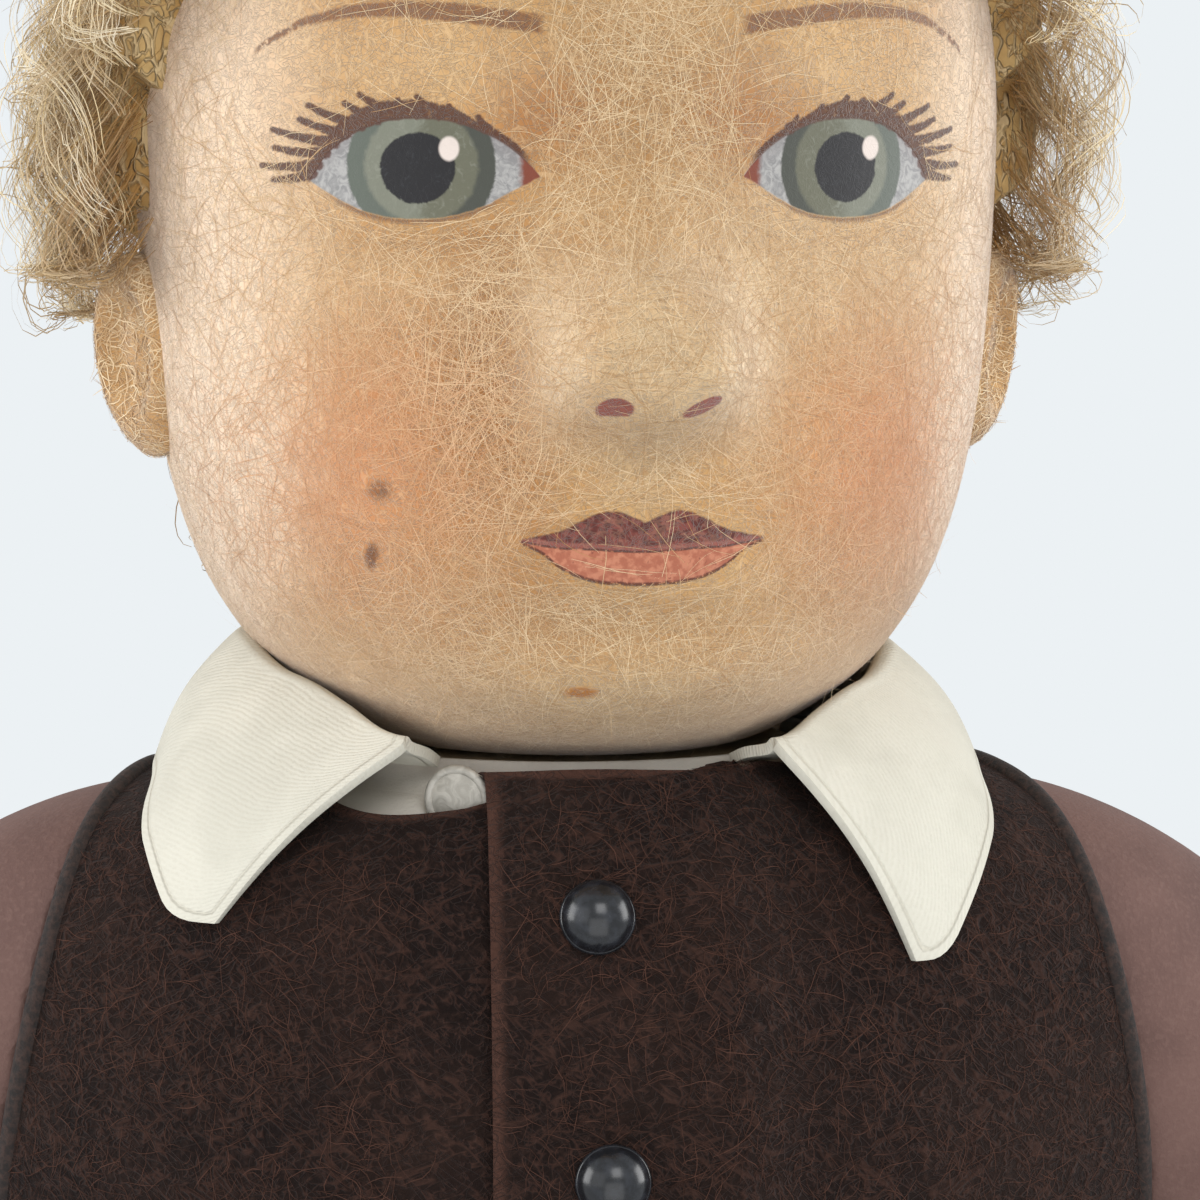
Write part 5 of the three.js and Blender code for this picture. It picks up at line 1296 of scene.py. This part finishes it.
def on_front(surface, x, z):
    """The place on a front surface nearest to x and height z, and the outward direction there."""
    up = np.linspace(body_t(z - 6), min(body_t(z + 5), 0.999), 400)
    t, a = np.meshgrid(up, np.linspace(-0.8, 0.3, 400), indexing="ij")
    p = surface(t, a)
    best = np.argmin((p[..., 0] - x) ** 2 + (p[..., 2] - z) ** 2)
    return p.reshape(-1, 3)[best], normal_of(surface, t.ravel()[best], a.ravel()[best])


def turned_button(name, at, axis, radius, height, rim):
    """A flattened ball cut flat behind, joined with a ring round its edge."""
    centre = (at + [0, AXIS_Y, 0]) * MM
    turn = Vector(axis).to_track_quat("Z", "Y").to_euler()
    bpy.ops.object.select_all(action="DESELECT")
    bpy.ops.mesh.primitive_uv_sphere_add(segments=56, ring_count=28, radius=radius * MM, location=centre,
                                         rotation=turn, scale=(0.97, 0.97, height / radius))
    dome = bpy.context.object
    bpy.ops.object.transform_apply(location=True, rotation=True, scale=True)
    trim(dome, at, -axis, fill=True)
    bpy.ops.mesh.primitive_torus_add(major_segments=56, minor_segments=14, major_radius=(radius - rim) * MM,
                                     minor_radius=rim * MM, rotation=turn,
                                     location=centre + axis * rim * 0.6 * MM)
    ring = bpy.context.object
    bpy.ops.object.transform_apply(location=True, rotation=True, scale=True)
    only(dome)
    ring.select_set(True)
    bpy.ops.object.join()
    dome.name = name
    return dome


look = Look("black_glass")
*_, where = look.place()
film = look.noise(where, 0.9, 3, 0.6)
colour = look.colours(film.above(0.4, 0.7), (24, 25, 28), (40, 42, 47))
black_look = look.surface(colour, film * 0.2 + 0.14, **{"Specular IOR Level": 0.4})
look = Look("shell")
*_, where = look.place()
bands = look.noise(where, 0.8, 3, 0.6, 1.0)
colour = look.colours(bands.above(0.35, 0.65), (160, 156, 146), (184, 180, 170))
shell_look = look.surface(colour, 0.35, bands, 0.0001)
lap_surface = lifted(trunk, lapped(JACKET_OUT))
for number in range(4):
    at, axis = on_front(lap_surface, 0.9 * min(number, 2), BUTTON_TOP - BUTTON_STEP * number)
    button = turned_button(f"glass_button_{number + 1}", at + axis * 0.2, axis, *GLASS_BUTTON)
    finish_piece(button, "torso", black_look, (f"jacket_button_{number + 1}",))
at, axis = on_front(lifted(trunk, SHIRT + COTTON / 2), *SHELL_PLACE)
axis = unit([at[0], at[1], 0])
button = turned_button("pearl_button", at + axis * 1.9, axis, *SHELL_BUTTON)
finish_piece(button, "torso", shell_look, ("shirt_button",))

# %% [markdown]
# The stuffed trunk, limbs, socks and shoes start as plain lofts and balls that are melted together: a
# voxel remesh joins them and a few rounds of smoothing take out the seams, as stuffing does.

# %% Melted forms


def ball(radii, centre, axes=None, rows=24, columns=36):
    axes = np.eye(3) if axes is None else np.array(axes)
    around = 2 * np.pi * np.arange(columns) / columns
    polar, turn = np.meshgrid(np.linspace(-1.5, 1.5, rows), around, indexing="ij")
    n = np.stack([np.cos(polar) * np.cos(turn), np.cos(polar) * np.sin(turn), np.sin(polar)], -1)
    return closed_loft((n * np.array(radii)) @ axes + np.asarray(centre))


def tube(centres, radii, across, sides=48):
    """A closed tube through centres with round sections square to its path."""
    centres = np.asarray(centres, float)
    along = unit(np.gradient(centres, axis=0))
    a = unit(across - along * (along @ across)[:, None])
    b = np.cross(along, a)
    turn = 2 * np.pi * np.arange(sides) / sides
    ring = np.cos(turn)[None, :, None] * a[:, None] + np.sin(turn)[None, :, None] * b[:, None]
    return closed_loft(centres[:, None] + ring * np.asarray(radii, float)[:, None, None])


def dome(origin, axis, up, radius, out, sides=48):
    """A cap standing on a joint plane, with its root past the plane."""
    front = np.cross(axis, up)
    turn = 2 * np.pi * np.arange(sides) / sides
    edge = radius * (np.cos(turn)[:, None] * up + np.sin(turn)[:, None] * front)
    rings = [origin - PAST_JOINT * axis + edge]
    for k in np.radians(np.linspace(0, 86, 16)):
        rings.append(origin + axis * out * math.sin(k) + edge * math.cos(k))
    return closed_loft(np.array(rings))


def melt(name, parts, voxel, rounds):
    points, quads, ends, start = [], [], [], 0
    for p, q, e in parts:
        points.append(np.asarray(p))
        quads.append(q + start)
        ends.append(e + start)
        start += len(p)
    made = new_object(name, np.concatenate(points), np.concatenate(quads), np.concatenate(ends))
    apply_modifier(made, "REMESH", mode="VOXEL", voxel_size=voxel * MM, adaptivity=0.0)
    apply_modifier(made, "SMOOTH", factor=0.5, iterations=rounds)
    return made


def wall_inwards(obj, thickness):
    """Gives a cut-open form its wall, inside the form's own skin."""
    apply_modifier(obj, "SOLIDIFY", thickness=thickness * MM, offset=-1, use_even_offset=False)


def press(obj, move):
    """Moves every point along its normal by move(points) millimetres."""
    count = len(obj.data.vertices)
    co, normals = np.empty(count * 3), np.empty(count * 3)
    obj.data.vertices.foreach_get("co", co)
    obj.data.vertices.foreach_get("normal", normals)
    points = co.reshape(-1, 3) / MM - [0, AXIS_Y, 0]
    moved = points + normals.reshape(-1, 3) * move(points)[:, None]
    obj.data.vertices.foreach_set("co", ((moved + [0, AXIS_Y, 0]) * MM).ravel())
    obj.data.update()


def mirror_copy(obj, name):
    """The same piece for the doll's right side."""
    made = obj.copy()
    made.data = obj.data.copy()
    made.name = made.data.name = name
    bpy.context.scene.collection.objects.link(made)
    made.data.transform(Matrix.Scale(-1, 4, (1, 0, 0)))
    made.data.flip_normals()
    return made


HIP = np.array([10.0, 0, 205.0])
ACROSS = np.array([1.0, 0, 0])
CROTCH_LOW = 182.0
CROTCH_TOP = 234.0
CROTCH_DEPTH = 23.0
CROTCH_ROUND = 20.0
CROTCH_HALF = 10.1
JOINT_GAP = 0.2
TROUSER_OUT = 1.9
WAIST_Z = 247.0
TROUSER_FELT = 1.5
STUFFED_IN = -0.15
BODY_IN = -0.1
BODY_TOP = 337.6
PAST_JOINT = 6.0


def crotch(grow):
    """The block between the legs, round underneath."""
    k = np.linspace(0, 1, 40)
    turn = math.pi * (k - 0.5)
    depth = CROTCH_DEPTH + grow
    y = np.concatenate([[-depth], depth * np.sin(turn), [depth]])
    z = CROTCH_LOW - grow + CROTCH_ROUND * (1 - np.cos(turn))
    z = np.concatenate([[CROTCH_TOP], z, [CROTCH_TOP]])
    outline = np.stack([0 * y, y, z], -1)
    sides = [outline - CROTCH_HALF * ACROSS, outline + CROTCH_HALF * ACROSS]
    return closed_loft(np.stack(sides)[:, ::-1])


def hips(grow, top):
    rings = grid_of(lifted(trunk, grow), np.linspace(0, body_t(top), 60), turns[::4])
    rings[0][:, 2] -= grow
    return closed_loft(rings)


look = Look("muslin")
x, *_, where = look.place()
weave = look.noise(where, 2.5, 3, 0.6)
colour = look.colours(look.noise(where, 0.1, 2).above(0.35, 0.65), (196, 176, 140), (214, 198, 164))
# Inside the armholes the trunk wears the sleeve's own cloth, which shows when an arm is swung.
colour = look.colours(abs(x).above(31, 32), colour, (104, 79, 72))
muslin = look.surface(colour, 0.9, weave, 0.0001)
stuffed = melt("stuffed_body", [hips(BODY_IN, BODY_TOP), crotch(BODY_IN)], 1.8, 3)
for way in BOTH_SIDES:
    trim(stuffed, (SHOULDER - JOINT_GAP * SHOULDER_AXIS) * way, SHOULDER_AXIS * way, fill=True)
finish_piece(stuffed, "torso", muslin, ("body",))

seat = melt("felt_trouser_seat", [hips(TROUSER_OUT, WAIST_Z + 5), crotch(TROUSER_OUT)], 1.5, 4)
trim(seat, (0, 0, WAIST_Z), (0, 0, 1))
wall_inwards(seat, TROUSER_FELT)
finish_piece(seat, "torso", trouser_look, ("trouser_seat",))

# %% [markdown]
# Arms hang beside the armhole with a slight bend, and end in a mitten of four stitched fingers and a
# thumb. An arm is lofted from the armhole's own outline, so that it meets the jacket all round. The sleeve
# is the same form, larger, cut open at the joint and at the cuff, with folds pressed into it.

# %% Arms and sleeves
ARM_LENGTH = 92.0
SLEEVE_LENGTH = 88.0
SLEEVE_OUT = 1.4
SLEEVE_CLOTH = 0.7
ARM_BEND_SHARE = 0.22
ARM_BEND = 9.0
ARM_OUT = 14.6
UPPER_ARM, WRIST = 12.6, 8.2
# Half sizes across the palm's thickness, its width and its length.
PALM = (4.5, 8.5, 11.8)
FINGER = (3.0, 2.3, 8.4)
FINGER_SHARES = (0.88, 1, 0.97, 0.82)
FINGER_STEP = 4.2
THUMB = (3.06, 2.55, 8.1)
THUMB_LEAN = math.radians(32)
arm_along = -SHOULDER_UP * math.cos(math.radians(8)) + SHOULDER_FRONT * math.sin(math.radians(8))
arm_front = np.cross(arm_along, SHOULDER_AXIS)


def arm_centre(k):
    k = np.asarray(k, float)
    bend = ARM_BEND * ease(k) * k
    return (SHOULDER + SHOULDER_AXIS * ARM_OUT + np.multiply.outer(k * ARM_LENGTH, arm_along)
            + np.multiply.outer(bend, arm_front))


def arm_girth(k):
    return mix(UPPER_ARM, WRIST, ease(k))


def arm_form(grow):
    """One bent loft: the armhole's own outline turns and narrows into the round arm."""
    _, out, reach = armhole_path(jacket_layer(JACKET_OUT - 0.5), 0.0)
    up, front = out @ SHOULDER_UP, out @ SHOULDER_FRONT
    reach = reach + grow - SLEEVE_OUT - 0.4
    arm_out = unit(SHOULDER_AXIS - arm_along * (SHOULDER_AXIS @ arm_along))
    rings = [SHOULDER - PAST_JOINT * SHOULDER_AXIS + out * reach[:, None]]
    for share in np.linspace(0, 1, 24):
        turn = share * math.pi / 2
        over = unit(SHOULDER_UP * math.cos(turn) + arm_out * math.sin(turn))
        middle = mix(SHOULDER, arm_centre(ARM_BEND_SHARE), share)
        middle = middle + SHOULDER_AXIS * 2.0 * math.sin(math.pi * share)
        size = mix(reach, arm_girth(ARM_BEND_SHARE) + grow, ease(share))[:, None]
        rings.append(middle + size * (up[:, None] * over + front[:, None] * SHOULDER_FRONT))
    for k in np.linspace(0.25, 1, 22):
        section = up[:, None] * arm_out + front[:, None] * SHOULDER_FRONT
        rings.append(arm_centre(k) + (arm_girth(k) + grow) * section)
    return [closed_loft(np.array(rings))]


def hand_form():
    along = unit(arm_centre(1.0) - arm_centre(0.94))
    thick = unit(SHOULDER_AXIS - along * (SHOULDER_AXIS @ along))
    wide = np.cross(along, thick)
    axes = [thick, wide, along]
    wrist = arm_centre(1.0)
    parts = [ball(PALM, wrist + along * 8.5, axes)]
    for i, share in enumerate(FINGER_SHARES):
        long = FINGER[2] * share
        root = wrist + along * (19.6 + 0.2 * long) + wide * (1.5 - i) * FINGER_STEP
        parts.append(ball((*FINGER[:2], long), root, axes))
    thumb = along * math.cos(THUMB_LEAN) + wide * math.sin(THUMB_LEAN)
    thumb_axes = [thick, np.cross(thumb, thick), thumb]
    parts.append(ball(THUMB, wrist + along * 9.5 + wide * 8.5, thumb_axes))
    return parts


def sleeve_folds(p):
    along = (p - SHOULDER) @ arm_along
    front = (p - SHOULDER) @ arm_front
    inner = ease((along - 6) / 20) * ease((86 - along) / 10)
    elbow = bell(along - 46, 15) * (0.5 - 0.5 * np.tanh(-front / 6))
    folds = 0.55 * np.sin(along / 2.9 + 0.12 * front) * elbow + 0.3 * np.sin(along / 6.5 + front / 5) * inner
    return folds + 0.35 * ease((along - 84) / 3)


arm = melt("stuffed_arm_left", arm_form(STUFFED_IN) + hand_form(), 0.85, 4)
trim(arm, SHOULDER + JOINT_GAP * SHOULDER_AXIS, -SHOULDER_AXIS, fill=True)
sleeve = melt("cloth_sleeve_left", arm_form(SLEEVE_OUT), 1.0, 5)
press(sleeve, sleeve_folds)
trim(sleeve, SHOULDER + JOINT_GAP * SHOULDER_AXIS, -SHOULDER_AXIS)
trim(sleeve, arm_centre(SLEEVE_LENGTH / ARM_LENGTH), arm_along)
wall_inwards(sleeve, SLEEVE_CLOTH)

look = Look("mauve_sleeve")
*_, where = look.place()
weave = look.noise(where, 2.0, 3, 0.6)
cloudy = look.noise(where, 0.07, 3, 0.6)
colour = look.colours(cloudy.above(0.35, 0.65), (98, 74, 68), (110, 84, 77))
colour = look.colours(weave.above(0.45, 0.7) * 0.35, colour, (122, 96, 88))
sleeve_look = look.surface(colour, 0.75, weave, 0.00012, **{"Specular IOR Level": 0.25})
for obj, name, slot, finish, node in ((arm, "stuffed_arm", "skin_felt", skin_look, "arm_stuffed"),
                                      (sleeve, "cloth_sleeve", "mauve_cloth", sleeve_look, "sleeve")):
    other = mirror_copy(obj, f"{name}_right")
    for piece, side in ((obj, "left"), (other, "right")):
        finish_piece(piece, f"arm_{side}", finish, (f"{node}_{side}",))
        node == "arm_stuffed"

# %% [markdown]
# Legs are stuffed felt from hip to foot. Short felt trousers, ribbed socks and round-toed ankle shoes
# cover most of them. Trousers and socks are the leg grown by a little more than their cloth, so that each
# layer clears the one below, and the shoe has a toe and a base of its own.

# %% Legs, trousers, socks and shoes
LEG_X = 29.4
LEG_ROWS = [[221.7, 3], [216.9, 12.2], [205, 17], [158.5, 15.5], [112, 13.2], [84, 13.2],
            [54, 10.5], [34, 9.4], [13.6, 8.9]]
TROUSER_HEM = 108.0
SOCK_TOP = 74.0
SHOE_TOP = 30.0
SOLE_TOP = 3.5
FOOT_Y = -11.6
FOOT = np.array([10.6, 22.8, 7.8])
FOOT_Z = 14.4
HIP_RADIUS, HIP_OUT = 20.2, 31.0
SHOE_HALF, SHOE_REACH = 12.8, 25.8
SOCK_OUT = 1.1
KNIT = 0.8
LEATHER = 1.4


def leg_tube(rows, grow):
    curve = through_rows(rows)(np.linspace(0, 1, 60))
    centres = np.stack([0 * curve[:, 0] + LEG_X, 0 * curve[:, 0], curve[:, 0]], -1)
    return tube(centres, curve[:, 1] + grow, ACROSS)


def foot(grow):
    rows = [list(r) for r in LEG_ROWS[4:]]
    rows[-1][0] -= grow
    return [leg_tube(rows, grow), ball(FOOT + grow, (LEG_X, FOOT_Y, FOOT_Z))]


def thigh(grow):
    hip = dome(HIP, ACROSS, np.array([0, 0, 1.0]), HIP_RADIUS + grow, HIP_OUT + grow)
    return [hip, leg_tube(LEG_ROWS, grow)]


leg = melt("stuffed_leg_left", thigh(STUFFED_IN) + foot(STUFFED_IN), 1.4, 3)
trim(leg, HIP + JOINT_GAP * ACROSS, -ACROSS, fill=True)

trouser_rows = [[185, 17], [132, 14.9], [104, 15.6]]
trouser = melt("felt_trouser_left", thigh(TROUSER_OUT) + [leg_tube(trouser_rows, TROUSER_OUT)], 1.4, 5)


def trouser_folds(p):
    turn = np.arctan2(p[:, 0] - LEG_X, -p[:, 1])
    free = ease((180 - p[:, 2]) / 40)
    return free * (0.45 * np.sin(3 * turn + p[:, 2] / 17) + 0.35 * np.sin(p[:, 2] / 7 + 2 * turn))


press(trouser, trouser_folds)
trim(trouser, HIP + JOINT_GAP * ACROSS, -ACROSS)
trim(trouser, (0, 0, TROUSER_HEM), (0, 0, -1))
wall_inwards(trouser, TROUSER_FELT)

sock = melt("knit_sock_left", foot(SOCK_OUT), 1.1, 3)
trim(sock, (0, 0, SOCK_TOP), (0, 0, 1))
press(sock, lambda p: 0.5 * ease((p[:, 2] - 63) / 1.5))
wall_inwards(sock, KNIT)

shoe_rows = [[34, 12.9], [SHOE_TOP, 12.9], [20, 12.9], [11, 12.5], [2, 11.8]]
shoe_toe = ball((SHOE_HALF, SHOE_REACH, 14.5), (LEG_X, FOOT_Y, 13.5))
shoe_base = ball((SHOE_HALF, SHOE_REACH, 12), (LEG_X, FOOT_Y, 6))
shoe = melt("leather_shoe_left", [shoe_toe, shoe_base, leg_tube(shoe_rows, 0)], 0.95, 4)
trim(shoe, (0, 0, SHOE_TOP), (0, 0, 1))
trim(shoe, (0, 0, SOLE_TOP), (0, 0, -1))
wall_inwards(shoe, LEATHER)

look = Look("ribbed_knit")
x, y, z, where = look.place()
turn = look.node("Math", {"operation": "ARCTAN2"}, {0: abs(x) - LEG_X, 1: y})
ribs = (turn * 26).sine() * 0.5 + 0.5
loops = ((z + ribs * 0.3) * (2 * math.pi / 0.9)).sine() * 0.5 + 0.5
colour = look.colours(look.noise(where, 0.15, 3).above(0.35, 0.65), (206, 200, 184), (226, 221, 207))
# Painted shade: the hollows between the ribs are darker.
colour = look.colours((1 - ribs) * 0.35, colour, (160, 152, 136))
sock_look = look.surface(colour, 0.9, ribs + loops * 0.35, 0.0004)
look = Look("shoe_leather")
*_, z, where = look.place()
creases = look.noise(where, 0.5, 4, 0.65, 0.8)
scuffs = look.noise(where, 0.2, 4, 0.7, 0, 7)
colour = look.colours(creases.above(0.35, 0.7), (36, 24, 18), (58, 40, 31))
colour = look.colours(scuffs.above(0.58, 0.75) * 0.5, colour, (104, 76, 58))
seam = 1 - abs(z - (SOLE_TOP + 2.2)).above(0.12, 0.4)
colour = look.colours(seam * 0.5, colour, (18, 12, 9))
shoe_look = look.surface(colour, scuffs * 0.3 + 0.38, creases - seam, 0.0003)
for obj, name, slot, finish, node in ((leg, "stuffed_leg", "skin_felt", skin_look, "leg_stuffed"),
                                      (trouser, "felt_trouser", "brown_felt", trouser_look, "trouser_leg"),
                                      (sock, "knit_sock", "sock_knit", sock_look, "sock"),
                                      (shoe, "leather_shoe", "shoe_leather", shoe_look, "shoe_upper")):
    other = mirror_copy(obj, f"{name}_right")
    for piece, side in ((obj, "left"), (other, "right")):
        finish_piece(piece, f"leg_{side}", finish, (f"{node}_{side}",))
        if node == "leg_stuffed":
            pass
        elif node == "trouser_leg":
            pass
        elif node == "sock":
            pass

# %% [markdown]
# The hard pieces of the frame keep their own meshes: joint discs, cotter pins and soles only need a
# finish.

# %% Finishes for the frame's own pieces
look = Look("hardboard")
*_, where = look.place()
flecks = look.noise(where, 1.4, 4, 0.7)
colour = look.colours(flecks.above(0.35, 0.65), (104, 74, 46), (138, 104, 70))
board = look.surface(colour, 0.9, flecks, 0.0002)
look = Look("pin_steel")
*_, where = look.place()
tarnish = look.noise(where, 0.8, 3, 0.6)
colour = look.colours(tarnish.above(0.4, 0.7), (150, 150, 152), (96, 92, 90))
steel = look.surface(colour, tarnish * 0.3 + 0.25, Metallic=1.0)
look = Look("sole_leather")
*_, where = look.place()
worn = look.noise(where, 0.4, 4, 0.65)
sole = look.surface(look.colours(worn.above(0.35, 0.65), (112, 78, 50), (150, 110, 76)), 0.75, worn, 0.0003)
for name, node in frame["nodes"].items():
    if node.hide_render:
        continue
    finish = sole if "sole" in name else steel if "pin" in name else board
    node.data.materials.clear()
    node.data.materials.append(finish)
print("frame pieces kept:", sum(not n.hide_render for n in frame["nodes"].values()))

# %% [markdown]
# The camera looks a little down at the face from close by with a long lens. The background is a pale
# blue-white that only the camera sees. A soft key above the camera, a fill, a low bounce and a light at
# each side work with the even world light.

# %% Stage, light and camera
CAMERA_DISTANCE = 450.0
CAMERA_TARGET = np.array([0.53, -30.0, 352.6])
CAMERA_AZIMUTH = math.radians(-4.9)
CAMERA_ELEVATION = math.radians(5.365)
CAMERA_LENS = 161.4
BACKDROP = (236, 241, 244)


def in_metres(p):
    return Vector((np.asarray(p, float) + [0, AXIS_Y, 0]) * MM)


world = bpy.data.worlds.new("pale_room")
bpy.context.scene.world = world
world.use_nodes = True
look = Look("world", world.node_tree)
rays = look.tree.nodes.new("ShaderNodeLightPath")
seen = Wire(look, rays.outputs["Is Camera Ray"]).most(Wire(look, rays.outputs["Is Glossy Ray"]))
seen = seen.most(Wire(look, rays.outputs["Is Transmission Ray"]))
pale = look.node("Background", None, {"Color": linear(BACKDROP), "Strength": 1.0})
lit = look.node("Background", None, {"Color": linear((244, 246, 250)), "Strength": 0.52})
look.node("OutputWorld", None, {0: look.node("MixShader", None, {0: seen, 1: lit, 2: pale})})


def lamp(name, place, aim, watts, size):
    bpy.ops.object.light_add(type="AREA", location=in_metres(place))
    made = bpy.context.object
    made.name = name
    made.data.energy = watts
    made.data.size = size
    made.rotation_euler = (in_metres(aim) - in_metres(place)).to_track_quat("-Z", "Y").to_euler()
    made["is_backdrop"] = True


lamp("key", (120, -740, 900), (0, 0, 340), 3.6, 0.45)
lamp("fill", (-700, -600, 560), (0, 0, 320), 1.3, 0.7)
lamp("bounce", (0, -760, 60), (0, 0, 340), 2.9, 0.8)
lamp("rim_left", (-800, 60, 520), (0, 0, 350), 4.4, 0.5)
lamp("rim_right", (800, 60, 520), (0, 0, 350), 4.4, 0.5)

bpy.ops.mesh.primitive_circle_add(vertices=96, radius=0.6, fill_type="NGON", location=(0, 0, -0.0003))
floor = bpy.context.object
floor.name = "floor"
look = Look("floor_fade")
x, y, _, where = look.place()
away = (x * x + y * y).root()
fade = 1 - away.above(120, 420)
grain = look.noise(where, 0.05, 3)
colour = look.colours(grain, (234, 239, 242), (238, 243, 246))
floor.data.materials.append(look.surface(colour, 0.9, Alpha=fade))
floor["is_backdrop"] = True

bpy.ops.object.camera_add()
camera = bpy.context.object
back_to = Vector((math.sin(CAMERA_AZIMUTH) * math.cos(CAMERA_ELEVATION),
                  -math.cos(CAMERA_AZIMUTH) * math.cos(CAMERA_ELEVATION), math.sin(CAMERA_ELEVATION)))
camera.location = in_metres(CAMERA_TARGET) + back_to * CAMERA_DISTANCE * MM
camera.rotation_euler = (-back_to).to_track_quat("-Z", "Y").to_euler()
camera.data.sensor_width = 36
camera.data.lens = CAMERA_LENS
camera.data.clip_start = 0.01
bpy.context.scene.camera = camera
bpy.context.scene.view_settings.view_transform = "Standard"
print("camera at", [round(v, 3) for v in camera.location])

# %% [markdown]
# Last, the size of the dressed doll is set against that of the frame, and the scene is closed.

# %% Close the scene
full_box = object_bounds()
for title, box in (("cad box", cad_box), ("visual box", full_box)):
    print(title, [round(b - a, 4) for a, b in zip(*box)])
